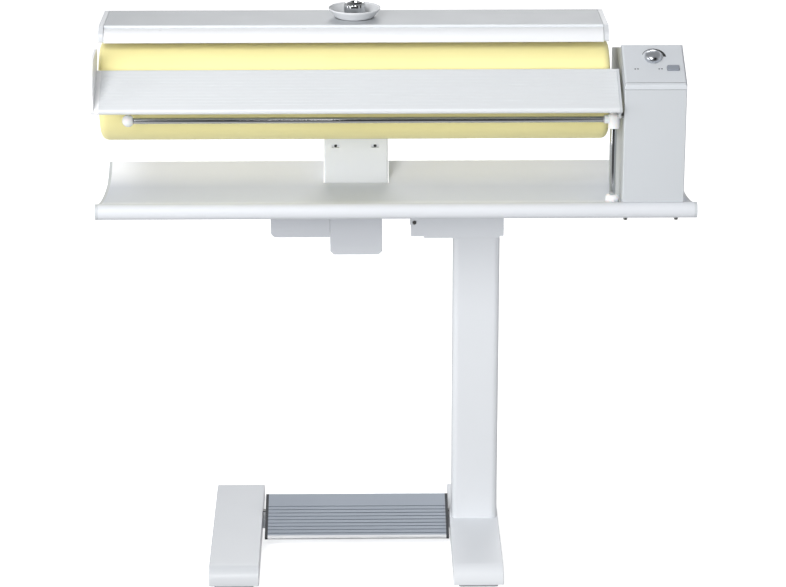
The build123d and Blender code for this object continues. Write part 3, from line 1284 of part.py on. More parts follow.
def water_tank():
    """Flat tank in the rear of the hood."""
    def top(y):
        return hood_top(y) - HOOD_T - SEAT_GAP
    keep = PLATE_R_OUT + 2 * ELEMENT_R + TANK_AIR
    edge = TANK_EDGE
    face = outline((TANK_Y0, top(TANK_Y0)), (TANK_Y1 - edge, top(TANK_Y1)), (TANK_Y1, top(TANK_Y1) - edge),
                   (TANK_Y1, LIFT_BRACKET_Z1 + edge), (TANK_Y0 + edge, top(TANK_Y0) - edge))
    solid = prism_x(face, TANK_X0, TANK_X1)
    keep_out = rod_x(0.0, PLATE_Z, keep, TANK_X0 - 1, TANK_X1 + 1)
    return solid - keep_out - rod_z(BOWL_X, BOWL_Y, BOWL_R, PLATE_Z, BOWL_RIM_Z)


def lift_arm():
    """Steel lifting arm: a box tube with a cross slot below and a bracket to the plate above."""
    z0 = PRESS_BOX_Z0 + UNDER_WALL + MOVE_GAP + PRESS_TRAVEL
    outer = box(LIFT_X0, LIFT_X1, LIFT_Y0, LIFT_Y1, z0, LIFT_TOP_Z)
    inner = box(LIFT_X0 + LIFT_WALL, LIFT_X1 - LIFT_WALL, LIFT_Y0 + LIFT_WALL, LIFT_Y1 - LIFT_WALL,
                z0 - 1, LIFT_TOP_Z - LIFT_WALL)
    reach = CRANK_THROW + CRANK_PIN_R + 2.0
    half = CRANK_PIN_R + CRANK_SLOT_GAP
    slot = box(LIFT_X - reach, LIFT_X + reach, LIFT_Y0 - 1, LIFT_Y0 + LIFT_WALL + 1,
               slot_z() - half, slot_z() + half)
    bracket = box(LIFT_X0 + LIFT_BRACKET_INSET, LIFT_X1 - LIFT_BRACKET_INSET, LIFT_BRACKET_Y0, LIFT_Y0,
                  LIFT_BRACKET_Z0, LIFT_BRACKET_Z1)
    bracket = bracket - rod_x(0.0, PLATE_Z, PLATE_R_OUT + SEAT_GAP, LIFT_X0, LIFT_X1)
    return outer - inner - slot + bracket


def arm_cover():
    """Moulded cover round the lifting arm."""
    w = ARM_COVER_WALL
    outer_face = rounded_rect(ARM_X0, ARM_X1, ARM_Y0, ARM_Y1, 3.0)
    inner_face = rounded_rect(ARM_X0 + w, ARM_X1 - w, ARM_Y0 + w, ARM_Y1 - w, 1.5)
    shell = prism_z(outer_face - inner_face, ARM_COVER_Z0, ARM_COVER_Z1)
    inset = LIFT_BRACKET_INSET - TRAY_WINDOW_MARGIN
    passage = box(LIFT_X0 + inset, LIFT_X1 - inset, ARM_Y0 - 1, ARM_Y0 + w + 1,
                  LIFT_BRACKET_Z0 - TRAY_WINDOW_MARGIN, ARM_COVER_Z1 + 1)
    shell = shell - passage
    half_w = ARM_POCKET_W / 2
    half_h = ARM_POCKET_H / 2
    rim = ARM_POCKET_WALL
    for x in ARM_SCREW_X:
        seat = box(x - half_w - rim, x + half_w + rim, ARM_Y0 + 1, LIFT_Y0 - SEAT_GAP,
                   ARM_SCREW_Z - half_h - rim, ARM_SCREW_Z + half_h + rim)
        pocket = box(x - half_w, x + half_w, ARM_Y0 - 1, ARM_Y0 + ARM_POCKET_DEPTH,
                     ARM_SCREW_Z - half_h, ARM_SCREW_Z + half_h)
        shell = shell + seat - pocket
    return shell


def arm_cover_screws():
    """Screw heads in the cover's two pockets."""
    heads = []
    for x in ARM_SCREW_X:
        head_y = ARM_Y0 + ARM_SCREW_SINK
        head = rod_y(x, ARM_SCREW_Z, ARM_SCREW_R, head_y, ARM_Y0 + ARM_POCKET_DEPTH)
        slot = box(x - ARM_SCREW_R, x + ARM_SCREW_R, ARM_Y0, head_y + ARM_SLOT_DEPTH,
                   ARM_SCREW_Z - ARM_SLOT_W / 2, ARM_SCREW_Z + ARM_SLOT_W / 2)
        heads.append(head - slot)
    return Compound(children=heads)


# ================================================================ feed table
def feed_slope():
    """Tilt of the feed table in radians."""
    return math.atan2(FEED_REAR_Z - FEED_FRONT_Z, FEED_REAR_Y - FEED_FRONT_Y)


def feed_place(profile):
    """Move a profile drawn along the table, from its front edge, to its place in (Y, Z)."""
    place = Pos(FEED_FRONT_Y, FEED_FRONT_Z) * Rotation(0, 0, math.degrees(feed_slope()))
    return place * profile


def feed_section():
    """Section of the table along its face: a flat plank with a round front lip."""
    length = math.hypot(FEED_REAR_Y - FEED_FRONT_Y, FEED_REAR_Z - FEED_FRONT_Z)
    plank = outline((0.0, 0.0, FEED_LIP_R), (length, 0.0, FEED_EDGE_R), (length, -FEED_REAR_T),
                    (length - FEED_TAPER, -FEED_T), (0.0, -FEED_T, FEED_LIP_R))
    return plank, length


def feed_table():
    """Extruded feed table, grooved lengthwise, with two hollow cells."""
    section, length = feed_section()
    pitch = (length - FEED_RIB_START - FEED_RIB_END) / FEED_RIB_COUNT
    for index in range(FEED_RIB_COUNT):
        middle = FEED_RIB_START + pitch * (index + 0.5)
        groove = outline((middle - FEED_RIB_GROOVE / 2, 1.0), (middle + FEED_RIB_GROOVE / 2, 1.0),
                         (middle + FEED_RIB_GROOVE / 2, -FEED_RIB_DEPTH),
                         (middle - FEED_RIB_GROOVE / 2, -FEED_RIB_DEPTH))
        section = section - groove
    cell_low = -FEED_T + FEED_WALL
    cell_top = -FEED_WALL - FEED_RIB_DEPTH
    middle = length / 2
    for start, end in ((FEED_LIP_R, middle - FEED_WALL / 2), (middle + FEED_WALL / 2, length - FEED_TAPER)):
        section = section - outline((start, cell_low), (end, cell_low), (end, cell_top), (start, cell_top))
    return prism_x(feed_place(section), FEED_X0, FEED_X1)


def feed_guard_left():
    """Left end of the table: a cap with a tall side wall beside the roller."""
    cap = prism_x(feed_place(feed_section()[0]), X_LEFT, FEED_X0 - RUN_GAP)
    wall_face = outline((FEED_FRONT_Y, FEED_FRONT_Z - FENCE_TOE_DROP, FENCE_TOE_R),
                        (FEED_FRONT_Y, FENCE_TOP_Z, FENCE_TOP_R), (FENCE_REAR_Y, FENCE_TOP_Z, FENCE_REAR_R),
                        (FENCE_REAR_Y - FENCE_HEEL, FEED_REAR_Z, FENCE_HEEL_R),
                        (FEED_REAR_Y, FEED_REAR_Z - FEED_T, FENCE_TOE_R))
    return cap + prism_x(wall_face, X_LEFT, X_LEFT + FENCE_T)


def feed_end_cap_right():
    """Right end of the table, with the lug that hangs on the hinge pin."""
    x0 = FEED_X1 + RUN_GAP
    section = feed_place(feed_section()[0])
    reach = FEED_LUG_R * 0.9
    under = FEED_FRONT_Z + (FEED_PIN_Y - FEED_FRONT_Y) * math.tan(feed_slope())
    web = outline((FEED_PIN_Y - reach, FEED_PIN_Z), (FEED_PIN_Y + reach, FEED_PIN_Z),
                  (FEED_PIN_Y + reach, under - 3.0), (FEED_PIN_Y - reach, under - 8.0))
    face = section + web + Pos(FEED_PIN_Y, FEED_PIN_Z) * Circle(FEED_LUG_R)
    face = face - Pos(FEED_PIN_Y, FEED_PIN_Z) * Circle(FEED_PIN_R + RUN_GAP)
    return prism_x(face, x0, x0 + FEED_CAP_T)


def feed_hinge_pin():
    """Pin in the housing's side wall that carries the feed table."""
    x0 = FEED_X1 + SEAT_GAP
    head = rod_x(FEED_PIN_Y, FEED_PIN_Z, FEED_PIN_R + FEED_PIN_HEAD, FEED_X1 + FEED_CAP_T + MOVE_GAP,
                 BOX_X0 - SEAT_GAP)
    pin = rod_x(FEED_PIN_Y, FEED_PIN_Z, FEED_PIN_R, x0, BOX_X0 + BOX_WALL + FEED_PIN_IN)
    return pin + head


# ================================================================ laundry rail
def tray_height(y):
    """Approximate height of the tray's surface at y, between the nearest two given points."""
    for (y0, rise0), (y1, rise1) in zip(TRAY_RISE, TRAY_RISE[1:]):
        if y0 <= y <= y1:
            return TRAY_TROUGH_Z + rise0 + (rise1 - rise0) * (y - y0) / (y1 - y0)
    return TRAY_TROUGH_Z


def rail_socket():
    """Dome-shaped foot for the rail's post, on the tray."""
    base = tray_height(RAIL_Y)
    top = base + RAIL_SOCKET_H
    dome = rod_z(RAIL_POST_X, RAIL_Y, RAIL_SOCKET_R, base - RAIL_SOCKET_SINK, top)
    dome = fillet(dome.edges().filter_by(GeomType.CIRCLE).sort_by(Axis.Z)[-1], RAIL_SOCKET_R * 0.6)
    bore = rod_z(RAIL_POST_X, RAIL_Y, RAIL_R + RUN_GAP, base + RAIL_SOCKET_FLOOR, top + 1)
    return dome - under_tray(RAIL_POST_X - 2 * RAIL_SOCKET_R, RAIL_POST_X + 2 * RAIL_SOCKET_R) - bore


def rail_post():
    """Upright of the rail."""
    base = tray_height(RAIL_Y) + RAIL_SOCKET_FLOOR + SEAT_GAP
    return rod_z(RAIL_POST_X, RAIL_Y, RAIL_R, base, RAIL_Z + RAIL_POST_OVER)


def rail_elbow():
    """Moulded elbow between post and bar."""
    top = RAIL_Z + RAIL_ELBOW_TOP
    block = rod_z(RAIL_POST_X, RAIL_Y, RAIL_ELBOW_R, top - RAIL_ELBOW_H, top)
    block = fillet(block.edges().filter_by(GeomType.CIRCLE).sort_by(Axis.Z)[-1], RAIL_ELBOW_EDGE_R)
    left = RAIL_POST_X - RAIL_ELBOW_REACH
    arm = rod_x(RAIL_Y, RAIL_Z, RAIL_ELBOW_ARM_R, left, RAIL_POST_X)
    post_bore = rod_z(RAIL_POST_X, RAIL_Y, RAIL_R + RUN_GAP, top - RAIL_ELBOW_H - 1,
                      RAIL_Z + RAIL_POST_OVER + SEAT_GAP)
    bar_bore = rod_x(RAIL_Y, RAIL_Z, RAIL_R + RUN_GAP, left - 1, RAIL_POST_X - RAIL_R - RAIL_WEB)
    return block + arm - post_bore - bar_bore


def rail_bar():
    """Horizontal chrome bar."""
    return rod_x(RAIL_Y, RAIL_Z, RAIL_R, RAIL_BALL_X, RAIL_POST_X - RAIL_R - RAIL_WEB - SEAT_GAP)


def rail_ball():
    """Round end of the bar, bored for it."""
    bore_r = RAIL_R + RUN_GAP
    mouth = math.sqrt(RAIL_BALL_R ** 2 - bore_r ** 2)
    arc = ThreePointArc((-RAIL_BALL_R, 0.0), (0.0, RAIL_BALL_R), (mouth, bore_r))
    bore = Line((mouth, bore_r), (-SEAT_GAP, bore_r))
    floor = Line((-SEAT_GAP, bore_r), (-SEAT_GAP, 0.0))
    axis = Line((-SEAT_GAP, 0.0), (-RAIL_BALL_R, 0.0))
    solid = revolve(Plane.XZ * make_face([arc, bore, floor, axis]), axis=Axis.X)
    return Pos(RAIL_BALL_X, RAIL_Y, RAIL_Z) * solid


# ================================================================ nodes
def glide_feet():
    """Four inserts, front and rear in both feet."""
    return Compound(children=[glide(x0, y0) for x0 in (LEFT_FOOT_X, RIGHT_FOOT_X)
                              for y0 in (GLIDE_FRONT_Y, GLIDE_REAR_Y)])


NODES = {
    "left_foot": lambda: foot(LEFT_FOOT_X),
    "right_foot": lambda: foot(RIGHT_FOOT_X),
    "base_crossbar": base_crossbar,
    "column": column,
    "column_bracket": column_bracket,
    "glide_feet": glide_feet,
    "fold_pivot_pin": fold_pivot_pin,
    "pedal_pins": pedal_pins,
    "pedal_switch": pedal_switch,
    "wheel_left": lambda: wheel(LEFT_FOOT_X),
    "wheel_right": lambda: wheel(RIGHT_FOOT_X),
    "pedal_plate": pedal_plate,
    "pedal_end_caps": pedal_end_caps,
    "head_frame": head_frame,
    "tray": tray,
    "tray_end_caps": tray_end_caps,
    "control_housing": control_housing,
    "control_panel": control_panel,
    "housing_rear_cover": housing_rear_cover,
    "housing_screws": housing_screws,
    "control_board": control_board,
    "dial": dial,
    "power_button": power_button,
    "drive_motor": drive_motor,
    "motor_pulley": motor_pulley,
    "drive_belt": drive_belt,
    "shaft_bearings": shaft_bearings,
    "mains_housing": mains_housing,
    "cable_gland": cable_gland,
    "press_housing": press_housing,
    "press_motor": press_motor,
    "press_crank": press_crank,
    "arm_guide": arm_guide,
    "roller_tube": roller_tube,
    "roller_end_discs": roller_end_discs,
    "roller_shaft": roller_shaft,
    "roller_pulley": roller_pulley,
    "roller_padding": roller_padding,
    "roller_cover": roller_cover,
    "heater_plate": heater_plate,
    "heating_element": heating_element,
    "lift_arm": lift_arm,
    "arm_cover": arm_cover,
    "arm_cover_screws": arm_cover_screws,
    "hood_shell": hood_shell,
    "hood_end_caps": hood_end_caps,
    "finger_guard": finger_guard,
    "water_tank": water_tank,
    "filler_bowl": filler_bowl,
    "filler_cap": filler_cap,
    "feed_table": feed_table,
    "feed_guard_left": feed_guard_left,
    "feed_end_cap_right": feed_end_cap_right,
    "feed_hinge_pin": feed_hinge_pin,
    "rail_socket": rail_socket,
    "rail_post": rail_post,
    "rail_elbow": rail_elbow,
    "rail_bar": rail_bar,
    "rail_ball": rail_ball,
}


def main():
    """Build every node and write it to its own file."""
    os.makedirs("parts", exist_ok=True)
    for name, make in NODES.items():
        export_step(make(), f"parts/{name}.step")
        print(name)


if __name__ == "__main__":
    main()
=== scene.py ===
"""Looks of the flatwork ironer: finishes, cloth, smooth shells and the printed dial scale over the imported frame.

Metres throughout. +X is right as seen from the front, the front faces -Y, +Z is up.
"""
from __future__ import annotations

import json
import logging
import math
from dataclasses import dataclass
from enum import Enum
from typing import Callable, Sequence

import bmesh
import bpy
import numpy as np
from mathutils import Matrix, Vector


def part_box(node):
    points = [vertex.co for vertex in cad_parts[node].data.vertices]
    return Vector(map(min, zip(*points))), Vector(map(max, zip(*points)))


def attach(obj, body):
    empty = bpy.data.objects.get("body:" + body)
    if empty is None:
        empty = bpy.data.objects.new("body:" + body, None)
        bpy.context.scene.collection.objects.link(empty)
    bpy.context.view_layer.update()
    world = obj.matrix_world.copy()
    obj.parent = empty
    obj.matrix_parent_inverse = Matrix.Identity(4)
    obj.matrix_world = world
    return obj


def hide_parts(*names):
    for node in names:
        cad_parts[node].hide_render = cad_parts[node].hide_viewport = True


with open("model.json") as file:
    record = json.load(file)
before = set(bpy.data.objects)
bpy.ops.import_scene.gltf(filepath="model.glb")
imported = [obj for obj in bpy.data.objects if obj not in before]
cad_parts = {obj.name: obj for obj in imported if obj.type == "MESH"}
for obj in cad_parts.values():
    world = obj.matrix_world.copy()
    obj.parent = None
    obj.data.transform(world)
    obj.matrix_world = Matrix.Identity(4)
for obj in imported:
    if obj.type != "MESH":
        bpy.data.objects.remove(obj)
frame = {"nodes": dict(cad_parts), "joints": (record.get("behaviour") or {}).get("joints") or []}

LOG = logging.getLogger("ironer")
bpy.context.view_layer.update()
TAU = 2.0 * math.pi
QUARTER = math.pi / 2.0
MERGE_REACH = 1e-6

Colour = tuple[float, float, float]
Fade = tuple[float, float, float, float]
Piece = bpy.types.Object


def srgb(*parts: int) -> Colour:
    """Linear colour of an 8-bit screen colour.

    Args:
        parts: Red, green and blue, each from 0 to 255.

    Returns:
        The linear three, each from 0 to 1.
    """
    shares = (part / 255.0 for part in parts)
    return tuple(share / 12.92 if share <= 0.04045 else ((share + 0.055) / 1.055) ** 2.4 for share in shares)


def shade(colour: Colour, factor: float, lift: float = 0.0) -> Colour:
    """Colour times a factor, plus a lift, held to 1 and under."""
    return tuple(min(1.0, part * factor + lift) for part in colour)


class Along(Enum):
    """Direction that a grain, a lathe or a coordinate follows."""

    X = 0
    Y = 1
    Z = 2


# ---- shader maths
def _operator(operation: str, reflected: bool = False) -> Callable[..., Signal]:
    """Method that adds a Math node on a signal and another value; the reflected form takes the value first."""
    def method(self: Signal, other: object = 0.0) -> Signal:
        first, second = (other, self) if reflected else (self, other)
        return self.tree.node("ShaderNodeMath", {"operation": operation}, {0: first, 1: second})
    return method


class Signal:
    """A socket of a node tree, with arithmetic on it."""

    def __init__(self, tree: Tree, socket: bpy.types.NodeSocket) -> None:
        """Wrap a socket of a tree."""
        self.tree = tree
        self.socket = socket

    __add__, __radd__ = _operator("ADD"), _operator("ADD", True)
    __sub__, __rsub__ = _operator("SUBTRACT"), _operator("SUBTRACT", True)
    __mul__, __rmul__ = _operator("MULTIPLY"), _operator("MULTIPLY", True)
    __truediv__, __rtruediv__ = _operator("DIVIDE"), _operator("DIVIDE", True)
    __pow__, __rpow__ = _operator("POWER"), _operator("POWER", True)
    sine, absolute = _operator("SINE"), _operator("ABSOLUTE")  # these two use no other value

    def between(self, low: float, high: float, bottom: float = 0.0, top: float = 1.0) -> Signal:
        """Smooth step from the bottom value at low to the top value at high, level beyond both."""
        return self.tree.node("ShaderNodeMapRange", {"interpolation_type": "SMOOTHSTEP", "clamp": True},
                              {"Value": self, "From Min": low, "From Max": high, "To Min": bottom, "To Max": top})


class Tree:
    """A node tree, built by short calls."""

    def __init__(self, tree: bpy.types.NodeTree) -> None:
        """Take up a tree with the nodes that it has."""
        self.tree = tree

    def node(self, kind: str, settings: dict[str, object] | None = None,
             values: dict[int | str, object] | None = None, output: int | str = 0) -> Signal:
        """Add any node.

        Args:
            kind: The node's type name.
            settings: Attributes set before the sockets, such as a Math node's operation.
            values: Values or signals of its input sockets, by index or name.
            output: Which output to hand on.

        Returns:
            The chosen output.
        """
        made = self.tree.nodes.new(kind)
        for name, value in (settings or {}).items():
            setattr(made, name, value)
        for key, value in (values or {}).items():
            self.feed(made.inputs[key], value)
        return Signal(self, made.outputs[output])

    def feed(self, socket: bpy.types.NodeSocket, value: object) -> None:
        """Link a signal to a socket, or set its plain value."""
        if isinstance(value, Signal):
            self.tree.links.new(value.socket, socket)
        elif isinstance(value, tuple) and len(value) == 3 and socket.type == "RGBA":
            socket.default_value = (*value, 1.0)
        else:
            socket.default_value = value

    def place(self, scale: Sequence[float] = (1.0, 1.0, 1.0), cloth: bool = False) -> Signal:
        """Object coordinates, or the piece's own UV map in metres of cloth, scaled by axis."""
        where = (self.node("ShaderNodeUVMap", {"uv_map": "cloth"}) if cloth
                 else self.node("ShaderNodeTexCoord", output="Object"))
        return self.node("ShaderNodeMapping", {}, {"Vector": where, "Scale": tuple(scale)})

    def part_of(self, vector: Signal, axis: Along) -> Signal:
        """One coordinate of a vector."""
        return self.node("ShaderNodeSeparateXYZ", {}, {"Vector": vector}, axis.value)

    def noise(self, vector: Signal, scale: float, detail: float = 2.0, rough: float = 0.5) -> Signal:
        """Soft noise around 0.5."""
        return self.node("ShaderNodeTexNoise", {"noise_dimensions": "3D"},
                         {"Vector": vector, "Scale": scale, "Detail": detail, "Roughness": rough})

    def blend(self, factor: Signal | float, first: Colour | Signal, second: Colour | Signal) -> Signal:
        """Mix of two colours."""
        made = self.tree.nodes.new("ShaderNodeMix")
        made.data_type = "RGBA"
        colours = [socket for socket in made.inputs if socket.type == "RGBA"]
        for socket, value in zip((made.inputs[0], *colours), (factor, first, second)):
            self.feed(socket, value)
        return Signal(self, next(socket for socket in made.outputs if socket.type == "RGBA"))

    def drifting(self, vector: Signal, scale: float, colour: Colour, drift: float) -> Signal:
        """Colour that drifts slowly between a darker and a lighter tone."""
        return self.blend(self.noise(vector, scale, 3.0), shade(colour, 1.0 - drift), shade(colour, 1.0 + drift))


class Recipe(Tree):
    """One material's tree, round a Principled shader."""

    def __init__(self, name: str) -> None:
        """Start a material with a Principled shader and an output."""
        self.material = bpy.data.materials.new(name)
        self.material.use_nodes = True
        super().__init__(self.material.node_tree)
        self.tree.nodes.clear()
        output = self.tree.nodes.new("ShaderNodeOutputMaterial")
        self.shader = self.tree.nodes.new("ShaderNodeBsdfPrincipled")
        self.tree.links.new(self.shader.outputs["BSDF"], output.inputs["Surface"])

    def relief(self, height: Signal, depth: float, strength: float) -> None:
        """Bump the surface by a height signal over a depth in metres."""
        normal = self.node("ShaderNodeBump", {}, {"Strength": strength, "Distance": depth, "Height": height})
        self.feed(self.shader.inputs["Normal"], normal)

    def finish(self, **sockets: object) -> bpy.types.Material:
        """Set the shader's sockets, named with underscores, and hand the material over."""
        for name, value in sockets.items():
            self.feed(self.shader.inputs[name.replace("_", " ")], value)
        return self.material

    def overlay(self, mask: Signal, colour: Colour) -> None:
        """Mix a colour over the shader's present base colour."""
        socket = self.shader.inputs["Base Color"]
        self.feed(socket, self.blend(mask, Signal(self, socket.links[0].from_socket), colour))


# ---- finishes
class Finish:
    """Look of a surface, made into a material under a name."""

    def dress(self, recipe: Recipe) -> None:
        """Set the sockets of a new recipe."""
        raise NotImplementedError

    def make(self, name: str) -> bpy.types.Material:
        """Build the material."""
        recipe = Recipe(name)
        self.dress(recipe)
        return recipe.material


@dataclass(frozen=True)
class SatinPaint(Finish):
    """Powder-coated sheet: a faint orange peel, a slow drift of tone and a little handling haze."""

    colour: Colour
    rough: float = 0.34
    peel: float = 0.05
    drift: float = 0.03
    coat: float = 0.15

    def dress(self, recipe: Recipe) -> None:
        """Set the sockets."""
        place = recipe.place()
        haze = recipe.noise(place, 26.0, 4.0)
        recipe.relief(recipe.noise(place, 620.0, 1.0), 0.0004, self.peel)
        recipe.finish(Base_Color=recipe.drifting(place, 4.0, self.colour, self.drift), Coat_Weight=self.coat,
                      Coat_Roughness=0.12, Roughness=haze * 0.12 + (self.rough - 0.06))


@dataclass(frozen=True)
class MouldedPlastic(Finish):
    """Moulded plastic with a fine spark-eroded grain and softly varied gloss."""

    colour: Colour
    rough: float = 0.42
    grain: float = 0.12
    drift: float = 0.025
    glow: float = 0.0

    def dress(self, recipe: Recipe) -> None:
        """Set the sockets; the glow is light scattered inside."""
        place = recipe.place()
        recipe.relief(recipe.noise(place, 1500.0, 2.0, 0.6), 0.0002, self.grain)
        gloss = recipe.noise(place, 40.0, 3.0) * 0.14 + (self.rough - 0.07)
        recipe.finish(Base_Color=recipe.drifting(place, 7.0, self.colour, self.drift), Roughness=gloss,
                      Subsurface_Weight=self.glow, Subsurface_Scale=0.004)


@dataclass(frozen=True)
class SeamedPlastic(MouldedPlastic):
    """Moulded plastic with painted shade along its joints, standing in for the shade in their groove and seam.

    A joint is (across y, across z, level, half width, lowest z): a band where y * across y + z * across z is within
    the half width of the level, above the lowest z.
    """

    joints: tuple[tuple[float, ...], ...] = ()
    deep: float = 0.6
    # the painted shade's colour, as a share of the plastic's own
    tone: float = 0.2
    foot: float = 0.0002

    def dress(self, recipe: Recipe) -> None:
        """Set the plastic's sockets, then mix painted shade in along each joint."""
        super().dress(recipe)
        place = recipe.place()
        y, z = recipe.part_of(place, Along.Y), recipe.part_of(place, Along.Z)
        for across_y, across_z, level, half, lowest in self.joints:
            near = 1.0 - (y * across_y + z * across_z - level).absolute().between(half * 0.5, half)
            # painted shade: a darker copy of the plastic's colour along each joint
            recipe.overlay(near * z.between(lowest - self.foot, lowest) * self.deep, shade(self.colour, self.tone))


@dataclass(frozen=True)
class DrawnMetal(Finish):
    """Metal with a grain drawn along one axis, dark and light streaks and small stains."""

    colour: Colour
    along: Along
    rough: float = 0.32
    streak: float = 0.10
    stain: float = 0.06
    fine: float = 850.0
    long: float = 9.0

    def dress(self, recipe: Recipe) -> None:
        """Set the sockets: the grain is a noise, stretched along the axis."""
        scale = [self.fine] * 3
        scale[self.along.value] = self.long
        lines = recipe.noise(recipe.place(scale), 1.0, 3.0, 0.65)
        marks = recipe.noise(recipe.place(), 18.0, 4.0)
        drawn = recipe.blend(lines.between(0.3, 0.7), shade(self.colour, 1.0 - self.streak), self.colour)
        stained = recipe.blend(marks.between(0.5, 0.8), drawn, shade(self.colour, 1.0 - self.stain))
        recipe.relief(lines, 0.00015, 0.25)
        recipe.finish(Base_Color=stained, Metallic=1.0, Roughness=lines * 0.16 + (self.rough - 0.08) + marks * 0.05)


@dataclass(frozen=True)
class Graded(Finish):
    """Another finish whose tone changes from front to back in bands; on the tray the bands are painted light and
    shade.

    Each stop is (from y, to y, colour): the tone passes smoothly to the colour between the two.
    """

    base: SatinPaint | DrawnMetal
    stops: tuple[tuple[float, float, Colour], ...]

    def dress(self, recipe: Recipe) -> None:
        """Set the base's sockets, then mix each stop's colour in."""
        self.base.dress(recipe)
        y = recipe.part_of(recipe.place(), Along.Y)
        # each stop mixes in a colour from its y onwards; on the tray this is painted light and shade
        for low, high, tone in self.stops:
            recipe.overlay(y.between(low, high), tone)


@dataclass(frozen=True)
class PolishedChrome(Finish):
    """Chrome plate with faint wiping marks in its gloss."""

    colour: Colour
    rough: float = 0.08
    smear: float = 0.07

    def dress(self, recipe: Recipe) -> None:
        """Set the sockets."""
        wipes = recipe.noise(recipe.place((30.0, 90.0, 90.0)), 1.0, 4.0, 0.7)
        recipe.finish(Base_Color=recipe.blend(wipes, shade(self.colour, 0.96), self.colour), Metallic=1.0,
                      Roughness=wipes * self.smear + self.rough)


@dataclass(frozen=True)
class CottonCover(Finish):
    """Woven cotton: two thread systems, slubs, a slow unevenness of dye and soft press marks along the roller."""

    colour: Colour
    shadow: Colour
    thread: float = 0.0011

    def dress(self, recipe: Recipe) -> None:
        """Set the sockets. The weave's height is the product of the two thread systems' sine waves."""
        place = recipe.place(cloth=True)
        warp, weft = ((recipe.part_of(place, axis) * (TAU / self.thread)).sine() for axis in (Along.X, Along.Y))
        weave = (warp * weft) * 0.5 + 0.5
        slub = recipe.noise(recipe.place((60.0, 900.0, 1.0), cloth=True), 1.0, 3.0, 0.6)
        cloud = recipe.noise(recipe.place((5.0, 9.0, 1.0), cloth=True), 1.0, 3.0)
        bands = recipe.noise(recipe.place((1.2, 70.0, 1.0), cloth=True), 1.0, 2.0)
        tone = cloud * 0.5 + slub * 0.25 + bands * 0.25
        recipe.relief(weave * 0.6 + slub * 0.4, 0.0003, 0.35)
        recipe.finish(Base_Color=recipe.blend(tone.between(0.25, 0.75), self.shadow, self.colour),
                      Roughness=slub * 0.1 + 0.82, Sheen_Weight=0.25, Sheen_Roughness=0.5)


@dataclass(frozen=True)
class PressedFelt(Finish):
    """Needled felt: short crossing fibres in two noises of different scale."""

    colour: Colour

    def dress(self, recipe: Recipe) -> None:
        """Set the sockets."""
        place = recipe.place((1.0, 2.4, 2.4))
        nap = recipe.noise(place, 700.0, 4.0, 0.75) * 0.6 + recipe.noise(place, 70.0, 3.0) * 0.4
        recipe.relief(nap, 0.0012, 0.6)
        recipe.finish(Base_Color=recipe.blend(nap, shade(self.colour, 0.82), self.colour), Roughness=0.95,
                      Sheen_Weight=0.3)


@dataclass(frozen=True)
class DullRubber(Finish):
    """Rubber with a dull bloom."""

    colour: Colour

    def dress(self, recipe: Recipe) -> None:
        """Set the sockets."""
        place = recipe.place()
        bloom = recipe.noise(place, 60.0, 4.0)
        recipe.relief(recipe.noise(place, 1100.0, 2.0), 0.0002, 0.3)
        recipe.finish(Base_Color=recipe.blend(bloom, self.colour, shade(self.colour, 1.0, 0.03)),
                      Roughness=bloom * 0.2 + 0.6)


@dataclass(frozen=True)
class CircuitLaminate(Finish):
    """Green board with copper tracks under its lacquer, as stripes broken up by noise."""

    colour: Colour
    track: Colour
    lane: float = 0.005

    def dress(self, recipe: Recipe) -> None:
        """Set the sockets: a track runs where the stripes' sine times the noise is high."""
        lanes = (recipe.part_of(recipe.place(), Along.X) * (TAU / self.lane)).sine()
        mask = (lanes * recipe.noise(recipe.place(), 45.0, 1.0)).between(0.28, 0.34)
        recipe.relief(mask, 0.0001, 0.4)
        recipe.finish(Base_Color=recipe.blend(mask, self.colour, self.track), Roughness=0.3)


@dataclass(frozen=True)
class PrintedInk(Finish):
    """Ink printed on the panel, slightly uneven where it is thin."""

    colour: Colour

    def dress(self, recipe: Recipe) -> None:
        """Set the sockets."""
        thin = recipe.noise(recipe.place(), 900.0, 2.0)
        recipe.finish(Base_Color=recipe.blend(thin, self.colour, shade(self.colour, 1.0, 0.02)),
                      Roughness=thin * 0.1 + 0.45)


# ---- surfaces
def middle(low: Vector, high: Vector) -> tuple[float, float, float]:
    """Point halfway between two corners of a box."""
    return tuple((a + b) / 2.0 for a, b in zip(low, high))


def rounded_box(left: float, right: float, half: float, radii: Sequence[float], steps: int = 6) -> np.ndarray:
    """Rectangle from left to right and from -half to half, with rounded corners.

    A corner's arc is radius * (cos t, sin t) over a quarter turn, about a centre one radius in from both sides.

    Args:
        left: Lower u.
        right: Upper u.
        half: Half the size in v.
        radii: Radii of the corners, from the lower left one round by the lower right one.
        steps: Segments in each arc.

    Returns:
        Points, one row (u, v) each.
    """
    pieces = []
    for corner, (u, v, radius) in enumerate(zip((left, right, right, left), (-half, -half, half, half), radii)):
        t = np.linspace(0.0, QUARTER, steps + 1 if radius else 1) + (corner + 2) * QUARTER
        inwards = radius if u == left else -radius, radius if v < 0.0 else -radius
        pieces.append(np.stack([u + inwards[0] + radius * np.cos(t), v + inwards[1] + radius * np.sin(t)], axis=1))
    return np.concatenate(pieces)


def grid_faces(rows: int, columns: int, closed: bool = True) -> np.ndarray:
    """Faces of a grid of points, four indices in a row; a closed grid joins its last column to its first."""
    grid = np.arange(rows * columns).reshape(rows, columns)
    if closed:
        grid = np.concatenate([grid, grid[:, :1]], axis=1)
    return np.stack([grid[:-1, :-1], grid[:-1, 1:], grid[1:, 1:], grid[1:, :-1]], axis=-1).reshape(-1, 4)


def tube_faces(rings: int, sides: int) -> list[list[int]]:
    """Faces of a tube of rings that is closed at both ends."""
    first = list(range(sides))
    last = [(rings - 1) * sides + index for index in first]
    return [*grid_faces(rings, sides).tolist(), first, last[::-1]]


def put(name: str, data: bpy.types.ID) -> Piece:
    """Put a mesh, a lamp or a camera into the scene as a new object."""
    piece = bpy.data.objects.new(name, data)
    bpy.context.scene.collection.objects.link(piece)
    return piece


